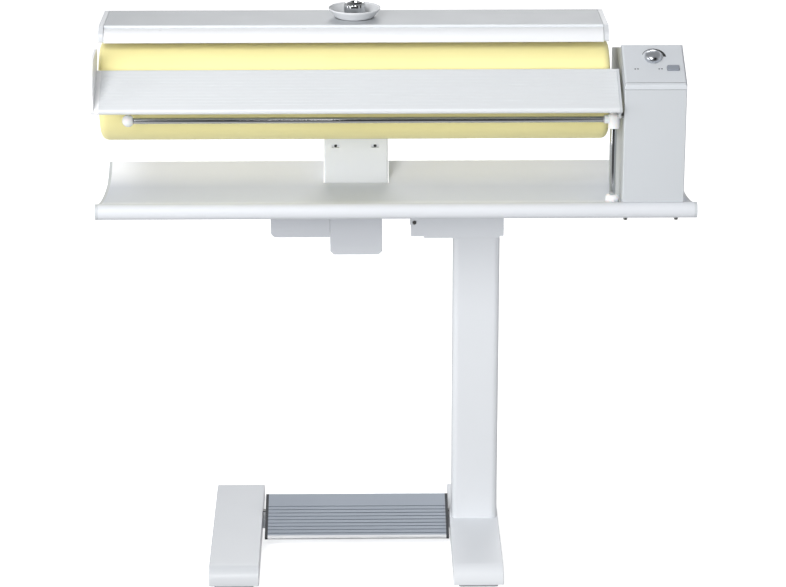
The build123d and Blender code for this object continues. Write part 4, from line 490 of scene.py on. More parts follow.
def smooth(mesh: bpy.types.Mesh, crisp_deg: float) -> None:
    """Shade a mesh smooth, with edges sharper than an angle kept crisp."""
    mesh.polygons.foreach_set("use_smooth", np.ones(len(mesh.polygons), bool))
    mesh.set_sharp_from_angle(angle=math.radians(crisp_deg))


def mend(mesh: bpy.types.Mesh) -> None:
    """Merge points that coincide, drop flat faces and turn the rest outwards."""
    work = bmesh.new()
    work.from_mesh(mesh)
    bmesh.ops.remove_doubles(work, verts=work.verts, dist=MERGE_REACH)
    bmesh.ops.dissolve_degenerate(work, edges=work.edges, dist=MERGE_REACH)
    bmesh.ops.recalc_face_normals(work, faces=work.faces)
    work.to_mesh(mesh)
    work.free()


def settle(name: str, points: np.ndarray, faces: Sequence[Sequence[int]], crisp_deg: float = 35.0) -> Piece:
    """Put points and faces into a new object.

    Args:
        name: The piece's name.
        points: Rows of coordinates.
        faces: Rows of the indices of each face's points.
        crisp_deg: Edges sharper than this stay crisp.

    Returns:
        The piece.
    """
    mesh = bpy.data.meshes.new(name)
    mesh.from_pydata(points.tolist(), [], [list(face) for face in faces])
    mesh.validate()
    mend(mesh)
    smooth(mesh, crisp_deg)
    return put(name, mesh)


def turned(name: str, profile: np.ndarray, centre: Sequence[float], along: Along, sides: int,
           crisp_deg: float = 35.0, flutes: tuple[int, int, int, float, float] | None = None) -> Piece:
    """Lathe: each profile point (radius, height) goes once round the axis; a radius of 0 closes a pole.

    Args:
        name: The piece's name.
        profile: Rows of (radius, height along the axis).
        centre: Origin of the axis.
        along: The axis.
        sides: Points in a turn.
        crisp_deg: Edges sharper than this stay crisp.
        flutes: First and last fluted row of the profile, number of flutes, depth as a share of the radius, and the
            power of the cosine wave that shapes them.

    Returns:
        The piece.
    """
    angle = np.arange(sides) * TAU / sides
    wide = profile[:, :1] * np.ones(sides)
    if flutes:
        first, last, count, depth, power = flutes
        wide[first:last + 1] *= 1.0 - depth * (0.5 + 0.5 * np.cos(count * angle)) ** power
    lathed = np.stack([wide * np.cos(angle), wide * np.sin(angle), profile[:, 1:] * np.ones(sides)], axis=-1)
    points = np.roll(lathed, along.value + 1, axis=-1) + np.array(centre)
    return settle(name, points.reshape(-1, 3), grid_faces(len(profile), sides), crisp_deg)


def eased_bar(name: str, outline: np.ndarray, low: float, high: float, ease: float) -> Piece:
    """Carry a closed outline straight up, its ends eased inwards by a small quarter round.

    A ring of an eased end lies ease * (1 - cos t) from the end and is drawn in by ease * (1 - sin t).

    Args:
        name: The piece's name.
        outline: Rows of (x, y), anticlockwise.
        low: Height of the lower end.
        high: Height of the upper end.
        ease: Radius of the eased ends.

    Returns:
        The piece.
    """
    chord = np.roll(outline, -1, axis=0) - np.roll(outline, 1, axis=0)
    tangent = chord / np.linalg.norm(chord, axis=1, keepdims=True)
    inward = np.stack([-tangent[:, 1], tangent[:, 0]], axis=1)
    t = np.linspace(0.0, QUARTER, 4)
    run, inset = ease * (1.0 - np.cos(t)), ease * (1.0 - np.sin(t))
    drawn_in = np.concatenate([inset, inset[::-1]])[:, None, None]
    level = np.concatenate([low + run, (high - run)[::-1]])[:, None, None]
    flat = outline + inward * drawn_in
    points = np.concatenate([flat, level * np.ones_like(flat[:, :, :1])], axis=-1)
    return settle(name, points.reshape(-1, 3), tube_faces(len(points), len(outline)))


@dataclass
class Workshop:
    """Keeps the finishes, dresses nodes and puts new pieces on their bodies."""

    finishes: dict[str, bpy.types.Material]
    facet_deg: float = 0.4
    crisp_deg: float = 32.0
    rounded_deg: float = 40.0
    strip_shares: tuple[float, ...] = (0.30, 0.40, 0.50, 0.62, 0.75, 0.88, 1.0)
    nose_radius: float = 0.0020
    lid_fillet: float = 0.0010

    def dress_node(self, node: str, finish: str) -> None:
        """Give a node of the frame one finish, in its material slots."""
        for holder in frame["nodes"][node].material_slots:
            holder.material = self.finishes[finish]
        LOG.info("node %s wears %s", node, finish)

    def fit(self, piece: Piece, finish: str | None, body: str, slot: str, *nodes: str) -> None:
        """Finish a new piece: paint it, put it on a body and hide the nodes that it stands for.

        Args:
            piece: The new piece.
            finish: Name of its finish; None leaves its own.
            body: Body that it moves with.
            slot: The record's material slot; not used.
            nodes: Nodes that it replaces, if any.
        """
        if finish:
            piece.data.materials.append(self.finishes[finish])
        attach(piece, body)
        if nodes:
            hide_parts(*nodes)
        LOG.info("piece %s rides on %s, faces %d", piece.name, body, len(piece.data.polygons))

    def softened(self, node: str, body: str, slot: str, radius: float, steps: int, shoulder: float = 0.0) -> None:
        """Stand a merged copy of a dressed node in its place, with its crisp edges rounded.

        Args:
            node: The node to copy.
            body: Body that it moves with.
            slot: The record's material slot.
            radius: Width of the rounding.
            steps: Segments of the rounding.
            shoulder: Radius of the upper edges at its left and right ends, where those are rounder.
        """
        mesh = frame["nodes"][node].data.copy()
        piece = put(f"{node}_finished", mesh)
        work = bmesh.new()
        work.from_mesh(mesh)
        bmesh.ops.remove_doubles(work, verts=work.verts, dist=2.0 * MERGE_REACH)
        bmesh.ops.dissolve_limit(work, angle_limit=math.radians(self.facet_deg), verts=work.verts, edges=work.edges)
        if shoulder:
            self.round_shoulders(work, shoulder)
        work.to_mesh(mesh)
        work.free()
        if mesh.has_custom_normals:
            with bpy.context.temp_override(object=piece, active_object=piece, selected_objects=[piece]):
                bpy.ops.mesh.customdata_custom_splitnormals_clear()
        smooth(mesh, self.crisp_deg)
        rounding = piece.modifiers.new("soft_edges", "BEVEL")
        rounding.width = radius
        rounding.segments = steps
        rounding.limit_method = "ANGLE"
        rounding.angle_limit = math.radians(self.rounded_deg)
        rounding.harden_normals = True
        self.fit(piece, None, body, slot, node)

    def round_shoulders(self, work: bmesh.types.BMesh, radius: float) -> None:
        """Give the upper edges at the left and right ends of a sloping lid a larger radius.

        The lid is cut into strips near each end. At a distance d from the end, its top comes down to
        radius - sqrt(radius^2 - (radius - d)^2) under the slope, from the small fillet's own such curve.
        """
        low, high = (pick(vertex.co.x for vertex in work.verts) for pick in (min, max))
        for share in self.strip_shares:
            for end, side in ((low, 1.0), (high, -1.0)):
                bmesh.ops.bisect_plane(work, geom=[*work.verts, *work.edges, *work.faces], dist=MERGE_REACH,
                                       plane_co=(end + side * share * radius, 0.0, 0.0), plane_no=(1.0, 0.0, 0.0))
        spot = np.array([vertex.co for vertex in work.verts])
        nose, crest = spot[:, 1].min() + self.nose_radius, spot[:, 2].max()
        ridge = spot[spot[:, 2] > crest - 1e-4][:, 1].min()
        base = max(z for _, y, z in spot if abs(y - nose) < 2e-4)
        top = base + (spot[:, 1] - nose) * (crest - base) / (ridge - nose)
        near = np.minimum(spot[:, 0] - low, high - spot[:, 0])

        def fall(size: float) -> np.ndarray:
            inside = np.clip(size - near, 0.0, size)
            return size - np.sqrt(size * size - inside * inside)

        moved = (fall(radius) - fall(self.lid_fillet)) * (spot[:, 2] > top - 1.3 * self.lid_fillet)
        for vertex, drop in zip(work.verts, moved):
            vertex.co.z -= float(drop)


# ---- sub-assemblies
@dataclass
class RollerCloth:
    """Cotton cover drawn over the felt, folded in and gathered at both ends of the roller."""

    edge: float = 0.012
    fold: float = 0.020
    play: float = 0.002
    wall: float = 0.0009
    lap: float = 0.0005
    lap_half: float = 0.011
    lap_angle: float = 0.8
    slack: float = 0.00025
    gathers: int = 34
    gather_depth: float = 0.0026
    felt_wall: float = 0.012
    around: int = 256
    end_rows: int = 9
    sleeve_rows: int = 90

    def profile(self, length: float, radius: float) -> np.ndarray:
        """Half section from the left fold over the sleeve to the right fold, as rows (x, radius)."""
        turn = np.linspace(0.0, QUARTER, 7)[::-1]
        shoulder = radius - self.edge
        inner = radius - self.play - self.felt_wall - self.fold
        left = np.stack([self.edge * (1.0 - np.sin(turn)), shoulder + self.edge * np.cos(turn)], axis=1)
        end = np.stack([np.zeros(self.end_rows), np.linspace(inner, shoulder, self.end_rows + 1)[:-1]], axis=1)
        sleeve = np.stack([np.linspace(self.edge, length - self.edge, self.sleeve_rows + 2)[1:-1],
                           np.full(self.sleeve_rows, radius)], axis=1)
        half = np.concatenate([end, left])
        return np.concatenate([half, sleeve, half[::-1] * (-1.0, 1.0) + (length, 0.0)])

    def cover(self, shop: Workshop) -> None:
        """Sleeve surface: radius and end depth as functions of the place along the profile and the angle.

        The sleeve is lower than the lap by its thickness, the lap is a smooth hump about one angle, the slack is a
        sum of three slow sine waves, and the folded ends ripple by gathers that deepen towards their inner edge.
        """
        low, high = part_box("roller_cover")
        axis_z, radius, length = (low.z + high.z) / 2.0, (high.z - low.z) / 2.0, high.x - low.x
        line = self.profile(length, radius)
        steps = np.concatenate([[0.0], np.cumsum(np.linalg.norm(np.diff(line, axis=0), axis=1))])
        angle = np.linspace(0.0, TAU, self.around + 1)
        x, r = line[:, :1] * np.ones_like(angle), line[:, 1:] * np.ones_like(angle)
        share = np.clip((radius - self.edge - r) / (self.fold + self.felt_wall - self.edge), 0.0, 1.0)
        seam = np.abs(np.angle(np.exp(1j * (angle - self.lap_angle)))) * radius
        hump = np.clip(1.0 - seam / self.lap_half, 0.0, 1.0)
        hump = hump * hump * (3.0 - 2.0 * hump)
        wave = (np.sin(3.0 * angle + 9.0 * x) + np.sin(5.0 * angle - 14.0 * x) + np.sin(2.0 * angle + 31.0 * x)) / 6.0
        r = r - self.lap * (1.0 - hump) - self.slack * (1.0 + wave) * (share < 0.01)
        gather = 0.5 + 0.5 * np.cos(self.gathers * angle + 1.3 * np.sin(3.0 * angle))
        depth = self.gather_depth * share * gather
        x = np.where(x < length / 2.0, x + depth, x - depth)
        points = np.stack([low.x + x, r * np.sin(angle), axis_z + r * np.cos(angle)], axis=-1)
        mesh = bpy.data.meshes.new("cotton_cover")
        mesh.from_pydata(points.reshape(-1, 3).tolist(), [], grid_faces(*x.shape, closed=False).tolist())
        uv = np.stack([np.repeat(steps, len(angle)), np.tile(angle * radius, len(line))], axis=1)
        layer = mesh.uv_layers.new(name="cloth")
        corner = np.empty(len(mesh.loops), np.int32)
        mesh.loops.foreach_get("vertex_index", corner)
        layer.data.foreach_set("uv", uv[corner].ravel())
        mend(mesh)
        if max(mesh.polygons, key=lambda face: face.center.z).normal.z < 0.0:
            mesh.flip_normals()
        mesh.polygons.foreach_set("use_smooth", np.ones(len(mesh.polygons), bool))
        piece = put("cotton_cover", mesh)
        wall = piece.modifiers.new("cloth_thickness", "SOLIDIFY")
        wall.thickness = self.wall
        wall.offset = -1.0
        shop.fit(piece, "cotton", "roller", "cloth", "roller_cover")

    def padding(self, shop: Workshop) -> None:
        """Felt roll between drum and cover, with soft shoulders."""
        low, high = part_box("roller_padding")
        radius, half = (high.z - low.z) / 2.0, (high.x - low.x) / 2.0
        inner, outer, shoulder = radius - self.felt_wall + 0.0001, radius - self.wall, self.edge - self.play
        section = rounded_box(inner, outer, half, (0.0, shoulder, shoulder, 0.0), 8)
        piece = turned("felt_padding", np.concatenate([section, section[:1]]), middle(low, high), Along.X, 96)
        shop.fit(piece, "felt", "roller", "felt", "roller_padding")

    def build(self, shop: Workshop) -> None:
        """Make the padding, then the cover on it."""
        self.padding(shop)
        self.cover(shop)


@dataclass
class LaundryRail:
    """Chrome rail with its ball, and its post."""

    tip: float = 0.0012
    mouth: float = 0.0012
    bore_play: float = 0.0002

    def rod(self, shop: Workshop, node: str, name: str, along: Along) -> None:
        """Chrome rod with small chamfered ends, as thick and long as the frame's."""
        low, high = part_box(node)
        half = (high[along.value] - low[along.value]) / 2.0
        across = (along.value + 1) % 3
        radius = (high[across] - low[across]) / 2.0
        section = np.array([(0.0, -half), (radius - self.tip, -half), (radius, -half + self.tip),
                            (radius, half - self.tip), (radius - self.tip, half), (0.0, half)])
        shop.fit(turned(name, section, middle(low, high), along, 48, 50.0), "chrome", "rail", "chrome", node)

    def ball(self, shop: Workshop) -> None:
        """Ball with a short collar where the bar goes in: a half circle that flattens onto the collar."""
        low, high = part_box("rail_ball")
        radius = (high.z - low.z) / 2.0
        centre = (low.x + radius, *middle(low, high)[1:])
        bar_low, bar_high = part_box("rail_bar")
        bore = (bar_high.z - bar_low.z) / 2.0 + self.bore_play
        t = np.linspace(math.pi, math.asin((bore + self.mouth) / radius), 30)
        sphere = np.stack([radius * np.sin(t), radius * np.cos(t)], axis=1)
        face = sphere[-1, 1]
        collar = np.array([(bore + 0.0004, face + 0.0001), (bore, face - 0.0004), (bore, 0.0), (0.0, 0.0)])
        shop.fit(turned("rail_end_ball", np.concatenate([sphere, collar]), centre, Along.X, 48), "milky",
                 "rail", "white_gloss", "rail_ball")

    def build(self, shop: Workshop) -> None:
        """Make the rods and the ball."""
        self.rod(shop, "rail_bar", "rail_bar_chrome", Along.X)
        self.rod(shop, "rail_post", "rail_post_chrome", Along.Z)
        self.ball(shop)


@dataclass
class Shells:
    """Shells of the frame whose crisp edges get the small radius that folding or moulding leaves."""

    folded: float = 0.0009
    moulded: float = 0.0012
    slim: float = 0.0008

    def build(self, shop: Workshop) -> None:
        """Stand a softened copy in for each shell."""
        for nodes, *form in (
                ("rail_elbow", "rail", "white_gloss", self.slim, 3),
                ("rail_socket", "head", "white_gloss", 0.0006, 3),
                ("tray_end_caps control_housing", "head", "body_white", self.moulded, 3),
                ("control_panel", "head", "body_white", 0.0006, 2, 0.0040),
                ("press_housing mains_housing", "head", "box_grey", self.moulded, 3),
                ("arm_cover", "press", "body_white", self.slim, 2),
                ("hood_end_caps", "press", "body_white", self.moulded, 3),
                ("feed_guard_left feed_end_cap_right", "feed", "body_white", self.slim, 2),
                ("power_button", "button", "button_grey", self.slim, 3),
                ("hood_shell", "press", "hood_grey", 0.0005, 2),
                ("finger_guard", "guard", "body_white", 0.0004, 2),
                ("column_bracket", "stand", "box_grey", self.folded, 2)):
            for node in nodes.split():
                shop.softened(node, *form)


@dataclass
class PanelMarks:
    """Dial with its tapered scale, and small plain marks, on the sloping panel."""

    dial_radius: float = 0.0140
    dial_height: float = 0.0118
    face_share: float = 0.985
    shaft_radius: float = 0.003
    shaft_depth: float = 0.0095
    gap: float = 0.0003
    ridges: int = 40
    ridge_depth: float = 0.012
    scale_inner: float = 0.0166
    scale_thin: float = 0.0008
    scale_thick: float = 0.0050
    scale_power: float = 1.6
    scale_from_deg: float = 166.0
    scale_to_deg: float = -4.0
    scale_rise: float = 0.0048
    pointer_deg: float = 128.0
    dots_right: tuple[float, ...] = (-0.031, -0.0265, 0.008, 0.0125)
    dots_up: float = -0.027
    dot_radius: float = 0.0014
    ink: float = 0.00015
    lift: float = 0.00005

    def plane(self) -> tuple[np.ndarray, np.ndarray]:
        """Origin of the panel's face at the dial, and its axes in rows: right, up the slope, out of the face."""
        joint = next(joint for joint in frame["joints"] if joint["name"] == "dial_turn")
        out = -np.array(joint["axis"])
        right = np.array([1.0, 0.0, 0.0])
        return np.array(joint["pos_m"]), np.array([right, np.cross(out, right), out])

    def knob(self, shop: Workshop) -> None:
        """Silver knob on its shaft: a quarter ellipse over a skirt whose radius ripples by fine grip ridges."""
        r, h, shaft = self.dial_radius, self.dial_height, self.shaft_radius
        turn = np.linspace(math.radians(8.0), QUARTER, 18)
        rim = h * 0.34
        face = np.stack([r * self.face_share * np.cos(turn), rim + (h - rim) * np.sin(turn)], axis=1)
        skirt = np.array([(0.0, -self.shaft_depth), (shaft, -self.shaft_depth), (shaft, self.gap),
                          (r * 0.96, self.gap), (r, 0.0012), (r * 0.995, h * 0.22), (r * self.face_share, rim)])
        section = np.concatenate([skirt, face])
        piece = turned("dial_knob", section, (0.0, 0.0, 0.0), Along.Z, self.ridges * 6, 40.0,
                       (4, 6, self.ridges, self.ridge_depth, 1.0))
        origin, axes = self.plane()
        piece.data.transform(Matrix.Translation(origin.tolist()) @ Matrix(axes.tolist()).transposed().to_4x4())
        shop.fit(piece, "silver", "dial", "chrome", "dial")
        self.pointer(shop, rim, h - rim)

    def pointer(self, shop: Workshop, rim: float, rise: float) -> None:
        """Slim raised line on the dome: it follows the quarter ellipse from 28 to 62 degrees up, at a set turn."""
        origin, axes = self.plane()
        angle = np.radians(np.linspace(28.0, 62.0, 14))[:, None]
        ray = self.dial_radius * self.face_share * np.cos(angle)
        side = np.array([-0.0006, 0.0006, 0.0006, -0.0006])
        height = rim + rise * np.sin(angle) + np.array([-0.0004, -0.0004, 0.00025, 0.00025])
        turn = math.radians(self.pointer_deg)
        drawn = np.stack([ray * math.cos(turn) - side * math.sin(turn),
                          ray * math.sin(turn) + side * math.cos(turn), height], axis=-1)
        piece = settle("dial_pointer", origin + drawn.reshape(-1, 3) @ axes, tube_faces(len(angle), len(side)))
        shop.fit(piece, "grey_ink", "dial", "dark_plastic")

    def printed(self, shop: Workshop, name: str, near: np.ndarray, far: np.ndarray, finish: str = "ink") -> None:
        """Thin closed band of ink between two rows of points in the panel's plane."""
        origin, axes = self.plane()
        count = len(near)
        levels = np.repeat([self.lift, self.lift + self.ink], 2 * count)
        points = origin + np.column_stack([np.concatenate([near, far, near, far]), levels]) @ axes
        grid = np.arange(4 * count).reshape(4, count)
        bands = [(grid[0], grid[1]), (grid[3], grid[2]), (grid[2], grid[0]), (grid[1], grid[3])]
        faces = np.concatenate([np.stack([a[:-1], a[1:], b[1:], b[:-1]], axis=1) for a, b in bands]).tolist()
        ends = [grid[[0, 1, 3, 2], index].tolist() for index in (0, -1)]
        shop.fit(settle(name, points, [*faces, *ends]), finish, "head", "dark_plastic")

    def scale(self, shop: Workshop) -> None:
        """Tapered arc round the dial: its width grows with a power of the share along it."""
        share = np.linspace(0.0, 1.0, 48)
        angle = np.radians(self.scale_from_deg + share * (self.scale_to_deg - self.scale_from_deg))
        width = self.scale_thin + (self.scale_thick - self.scale_thin) * share ** self.scale_power
        ray = np.stack([np.cos(angle), np.sin(angle)], axis=1)
        hub = np.array([0.0, self.scale_rise])
        self.printed(shop, "dial_scale", hub + ray * self.scale_inner, hub + ray * (self.scale_inner + width)[:, None])

    def dots(self, shop: Workshop) -> None:
        """Plain round marks beside the button and at the panel's left, each between two half circles."""
        angle = np.linspace(0.0, math.pi, 13)
        for index, right in enumerate(self.dots_right):
            x, rise = right + self.dot_radius * np.cos(angle), self.dot_radius * np.sin(angle) + 1e-5
            self.printed(shop, f"panel_dot_{index + 1}", np.stack([x, self.dots_up + rise], axis=1),
                         np.stack([x, self.dots_up - rise], axis=1), "grey_ink")

    def build(self, shop: Workshop) -> None:
        """Make the dial, its scale and the marks."""
        self.knob(shop)
        self.scale(shop)
        self.dots(shop)


@dataclass
class WaterFiller:
    """Spun bowl with its cap."""

    wall: float = 0.0014
    cap_flutes: int = 12
    flute_depth: float = 0.05
    grip: tuple[float, float, float] = (0.0125, 0.0022, 0.002)
    grip_ease: float = 0.0006
    grip_turn_deg: float = 20.0

    def bowl(self, shop: Workshop) -> None:
        """Bowl: a flat floor, a flaring side, a shoulder on the hood and a rolled rim."""
        low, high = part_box("filler_bowl")
        centre = (*middle(low, high)[:2], low.z)
        radius, rise = (high.x - low.x) / 2.0, high.z - low.z
        bead = self.wall * 0.5
        roll = np.linspace(0.0, math.pi, 9)
        rim = np.stack([radius - bead + bead * np.cos(roll), rise - bead + bead * np.sin(roll)], axis=1)
        outside = np.array([(0.0, 0.0), (0.0245, 0.0), (0.0262, 0.0006), (0.0305, 0.0044), (0.0325, 0.0046),
                            (0.0405, rise - 0.0052), (0.0428, rise - 0.0026)])
        inside = np.array([(0.0414, rise - 0.0030), (0.0391, rise - 0.0046), (0.0330, 0.0062), (0.0300, 0.0057),
                           (0.0252, 0.0019), (0.0240, 0.0016), (0.0, 0.0016)])
        piece = turned("spun_filler_bowl", np.concatenate([outside, rim, inside]), centre, Along.Z, 96)
        shop.fit(piece, "bowl_gloss", "press", "chrome", "filler_bowl")

    def cap(self, shop: Workshop) -> None:
        """Cap: a fluted side under a dished top; the flutes are a cosine on the radius of the side's rows."""
        low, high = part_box("filler_cap")
        centre = (*middle(low, high)[:2], low.z)
        r, h = (high.x - low.x) / 2.0, high.z - low.z
        section = np.array([(0.0, 0.0), (r - 0.002, 0.0), (r - 0.001, 0.001), (r, h * 0.55), (r, h - 0.0035),
                            (r - 0.0008, h - 0.0014), (r - 0.0028, h), (r - 0.0048, h - 0.0006),
                            (r - 0.0060, h - 0.0030), (0.0, h - 0.0032)])
        piece = turned("fluted_filler_cap", section, centre, Along.Z, self.cap_flutes * 12, 40.0,
                       (2, 5, self.cap_flutes, self.flute_depth, 3.0))
        shop.fit(piece, "chrome", "cap", "chrome", "filler_cap")
        long, thick, corner = self.grip
        bar = eased_bar("filler_cap_grip", rounded_box(-long, long, thick, [corner] * 4), h - 0.0034, h - 0.0004,
                        self.grip_ease)
        bar.data.transform(Matrix.Translation(centre) @ Matrix.Rotation(math.radians(self.grip_turn_deg), 4, "Z"))
        shop.fit(bar, "dark", "cap", "dark_plastic")

    def build(self, shop: Workshop) -> None:
        """Make the bowl and the cap."""
        self.bowl(shop)
        self.cap(shop)


@dataclass
class Studio:
    """Camera at the photograph's place, pale floor and soft light.

    A fade is (from, to, value at from, value at to), over one coordinate of a direction. A lamp is (name, place, size,
    power, aim, whether it shows in reflections).
    """

    width_px: int = 786
    focal_px: float = 2936.0
    distance: float = 5.0
    pitch_deg: float = 18.92
    yaw_deg: float = 0.77
    aim: tuple[float, float, float] = (-0.0037, 0.0, 0.463)
    sensor: float = 36.0
    ceiling_fade: Fade = (0.05, 0.75, 0.70, 0.36)
    front_fade: Fade = (-0.40, -0.80, 0.0, 0.60)
    front_rise: Fade = (-0.80, -0.50, 0.0, 1.0)
    sky: Colour = (0.985, 0.992, 1.0)
    floor_reach: float = 14.0
    floor_tones: tuple[float, float] = (0.90, 0.93)
    floor_glow: float = 0.62
    lamps: tuple[tuple, ...] = (
        ("key_softbox", (-1.3, -3.4, 3.5), 1.8, 100.0, (0.0, 0.0, 0.8), True),
        ("front_softbox", (-1.9, -4.5, 1.9), 1.8, 112.0, (0.0, 0.0, 0.7), False),
        ("low_softbox", (0.7, -4.6, 0.8), 1.2, 42.0, (0.0, 0.0, 0.7), False),
        ("left_softbox", (-3.4, -1.6, 1.4), 1.6, 22.0, (0.2, 0.0, 0.6), True),
        ("rear_softbox", (0.2, 3.4, 2.7), 2.0, 36.0, (0.0, 0.1, 0.7), True))

    def camera(self) -> None:
        """Place the camera: it looks down by the pitch, turned by the yaw, at the aim point."""
        pitch, yaw = math.radians(self.pitch_deg), math.radians(self.yaw_deg)
        ahead = Vector((math.sin(yaw) * math.cos(pitch), math.cos(yaw) * math.cos(pitch), -math.sin(pitch)))
        right = Vector((math.cos(yaw), -math.sin(yaw), 0.0))
        up = right.cross(ahead)
        data = bpy.data.cameras.new("photo_camera")
        data.sensor_width = self.sensor
        data.lens = self.focal_px / self.width_px * self.sensor
        data.clip_end = 60.0
        camera = put("photo_camera", data)
        camera.matrix_world = Matrix([(right[i], up[i], -ahead[i], self.aim[i] - ahead[i] * self.distance)
                                      for i in range(3)] + [(0.0, 0.0, 0.0, 1.0)])
        bpy.context.scene.camera = camera

    def room(self) -> bpy.types.World:
        """World of a white room with a dim ceiling and a dark wall behind the camera.

        Its strength is a fade with the height of the direction, less the product of two fades, of how far the
        direction points to the front and of its height.
        """
        world = bpy.data.worlds.new("white_room")
        world.use_nodes = True
        tree = Tree(world.node_tree)
        way = tree.node("ShaderNodeTexCoord", output="Generated")
        y, z = tree.part_of(way, Along.Y), tree.part_of(way, Along.Z)
        wall = y.between(*self.front_fade) * z.between(*self.front_rise)
        background = world.node_tree.nodes["Background"]
        tree.feed(background.inputs["Color"], self.sky)
        tree.feed(background.inputs["Strength"], z.between(*self.ceiling_fade) - wall)
        return world

    def floor(self) -> None:
        """Pale sheet that glows a little and is seen by the camera alone."""
        mesh = bpy.data.meshes.new("pale_floor")
        mesh.from_pydata([(x * self.floor_reach, y * self.floor_reach, 0.0) for x, y in
                          ((-1.0, -1.0), (1.0, -1.0), (1.0, 1.0), (-1.0, 1.0))], [], [(0, 1, 2, 3)])
        recipe = Recipe("floor_paper")
        dull, pale = ((tone, tone, tone) for tone in self.floor_tones)
        tone = recipe.noise(recipe.place(), 1.3, 2.0)
        mesh.materials.append(recipe.finish(Base_Color=recipe.blend(tone, dull, pale), Roughness=0.9,
                                            Emission_Color=(1.0, 1.0, 1.0), Emission_Strength=self.floor_glow))
        floor = put("pale_floor", mesh)
        floor.visible_diffuse = False
        floor.visible_glossy = False

    def build(self) -> None:
        """Make the camera, the world, the floor and the lamps, each a soft square that points at its aim."""
        self.camera()
        bpy.context.scene.view_settings.view_transform = "Standard"
        bpy.context.scene.world = self.room()
        self.floor()
        for name, place, size, power, aim, mirrored in self.lamps:
            data = bpy.data.lights.new(name, "AREA")
            data.shape = "SQUARE"
            data.size = size
            data.energy = power
            lamp = put(name, data)
            lamp.location = place
            lamp.visible_glossy = mirrored
            lamp.rotation_euler = (Vector(aim) - Vector(place)).to_track_quat("-Z", "Y").to_euler()


# Joints that get painted shade: the panel's nose groove, and the seam between the housing and the panel
PANEL_JOINT = (0.898, 0.439, 0.2599, 0.0008, 0.8663)
SIDE_JOINT = (0.0, 1.0, 0.8574, 0.0010, 0.85)

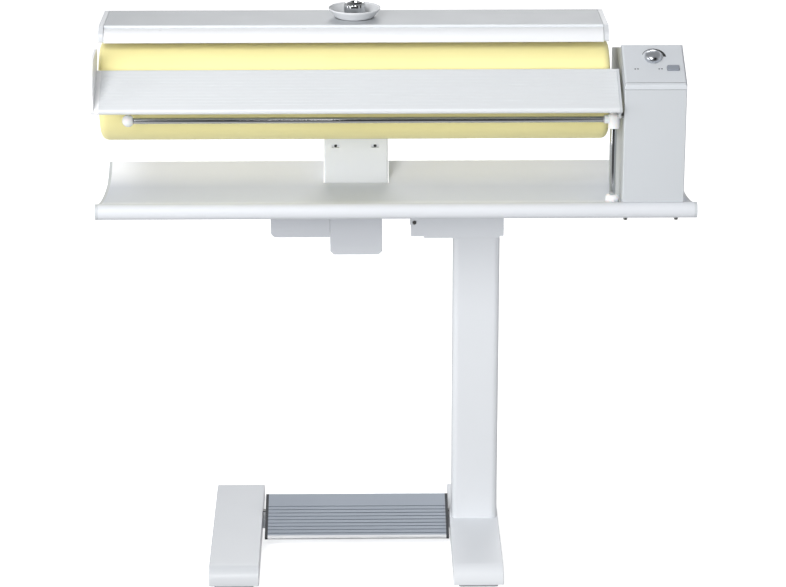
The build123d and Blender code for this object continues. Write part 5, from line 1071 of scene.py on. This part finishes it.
FINISHES = {
    "stand_paint": (SatinPaint(srgb(220, 223, 227), 0.38), "right_foot base_crossbar column head_frame"),
    # Left foot: the stand's paint made darker, painted shade that evens it with the right foot in the column's shade
    "left_foot_painted_shade": (SatinPaint(srgb(205, 208, 212), 0.38), "left_foot"),
    # Tray: painted light and shade from front to back, lighter behind the front roll, darker on the floor and much
    # lighter on the rear upsweep
    "tray_paint_painted_light": (Graded(SatinPaint(srgb(216, 219, 224), 0.50, coat=0.0), (
        (-0.130, -0.120, srgb(234, 238, 246)), (-0.080, -0.030, srgb(208, 213, 224)),
        (0.080, 0.150, srgb(248, 250, 255)))), "tray"),
    "hood_paint": (Graded(SatinPaint(srgb(222, 226, 230), 0.46, 0.04, 0.02, 0.0), (
        (-0.0255, -0.0235, srgb(178, 182, 186)),)), "hood_shell"),
    "body_plastic": (MouldedPlastic(srgb(200, 204, 208), 0.40), "tray_end_caps housing_rear_cover feed_end_cap_right"),
    "housing_plastic": (SeamedPlastic(srgb(198, 202, 206), 0.40, joints=(SIDE_JOINT, PANEL_JOINT)), "control_housing"),
    # Control panel: the housing's plastic made lighter, painted light that evens the sloping face with the housing's
    # front
    "panel_plastic_painted_light": (SeamedPlastic(srgb(208, 212, 217), 0.34, 0.06, joints=(PANEL_JOINT,)), "control_panel"),
    # Left feed guard: white plastic made lighter, painted light on a wall that stands in shade
    "guard_white_painted_light": (MouldedPlastic(srgb(245, 246, 248), 0.38), "feed_guard_left"),
    "guard_plastic": (MouldedPlastic(srgb(230, 232, 235), 0.30, 0.05), "finger_guard"),
    "cap_plastic": (MouldedPlastic(srgb(212, 215, 219), 0.34, 0.08), "hood_end_caps"),
    # Arm cover: white plastic made lighter, painted light on a part that stands in shade under the roller
    "arm_plastic_painted_light": (MouldedPlastic(srgb(233, 236, 242), 0.38), "arm_cover"),
    "table_coat": (SatinPaint(srgb(220, 223, 226), 0.36, 0.03), "feed_table"),
    "box_plastic": (MouldedPlastic(srgb(206, 209, 214), 0.45), "mains_housing press_housing"),
    "bracket_plastic": (MouldedPlastic(srgb(219, 222, 226), 0.45), "column_bracket"),
    "milky": (MouldedPlastic(srgb(236, 237, 238), 0.22, 0.02, 0.02, 0.15), "rail_socket rail_elbow rail_ball"),
    "dark": (
        MouldedPlastic(srgb(52, 54, 58), 0.48),
        "pedal_switch wheel_left wheel_right pedal_end_caps shaft_bearings cable_gland arm_guide arm_cover_screws"),
    "button": (MouldedPlastic(srgb(140, 146, 156), 0.45), "power_button"),
    "tank": (MouldedPlastic(srgb(226, 224, 214), 0.35, 0.05, 0.02, 0.1), "water_tank"),
    "motor_paint": (SatinPaint(srgb(92, 95, 100), 0.42), "drive_motor press_motor"),
    "tread": (Graded(DrawnMetal(srgb(248, 249, 251), Along.X, 0.42), (
        (-0.0080, -0.0072, srgb(172, 179, 189)),)), "pedal_plate"),
    "steel": (
        DrawnMetal(srgb(176, 176, 174), Along.X, 0.34),
        "fold_pivot_pin pedal_pins housing_screws motor_pulley press_crank roller_tube roller_end_discs roller_shaft "
        "roller_pulley heating_element feed_hinge_pin"),
    "upright_steel": (DrawnMetal(srgb(176, 176, 174), Along.Z, 0.34), "lift_arm"),
    "shoe": (DrawnMetal(srgb(212, 212, 210), Along.X, 0.22), "heater_plate"),
    "silver": (PolishedChrome(srgb(206, 210, 216), 0.26, 0.05), "dial"),
    "chrome": (PolishedChrome(srgb(200, 202, 205)), "filler_cap rail_post rail_bar"),
    "bowl_gloss": (MouldedPlastic(srgb(224, 226, 229), 0.22, 0.02, 0.02), "filler_bowl"),
    "cotton": (CottonCover(srgb(253, 244, 178), srgb(248, 237, 168)), "roller_cover"),
    "felt": (PressedFelt(srgb(222, 216, 200)), "roller_padding"),
    "rubber": (DullRubber(srgb(34, 34, 36)), "drive_belt"),
    "grey_rubber": (DullRubber(srgb(168, 170, 173)), "glide_feet"),
    "board": (CircuitLaminate(srgb(20, 92, 52), srgb(150, 120, 60)), "control_board"),
    "ink": (PrintedInk(srgb(22, 23, 26)), ""),
    "grey_ink": (PrintedInk(srgb(70, 74, 80)), ""),
}


def main() -> None:
    """Dress every node, add the finer pieces, then set up the studio."""
    logging.basicConfig(level=logging.INFO, format="%(name)s %(message)s")
    shop = Workshop({name: finish.make(name) for name, (finish, _) in FINISHES.items()})
    for name, (_, nodes) in FINISHES.items():
        for node in nodes.split():
            shop.dress_node(node, name)
    RollerCloth().build(shop)
    LaundryRail().build(shop)
    Shells().build(shop)
    PanelMarks().build(shop)
    WaterFiller().build(shop)
    Studio().build()


if __name__ == "__main__":
    main()
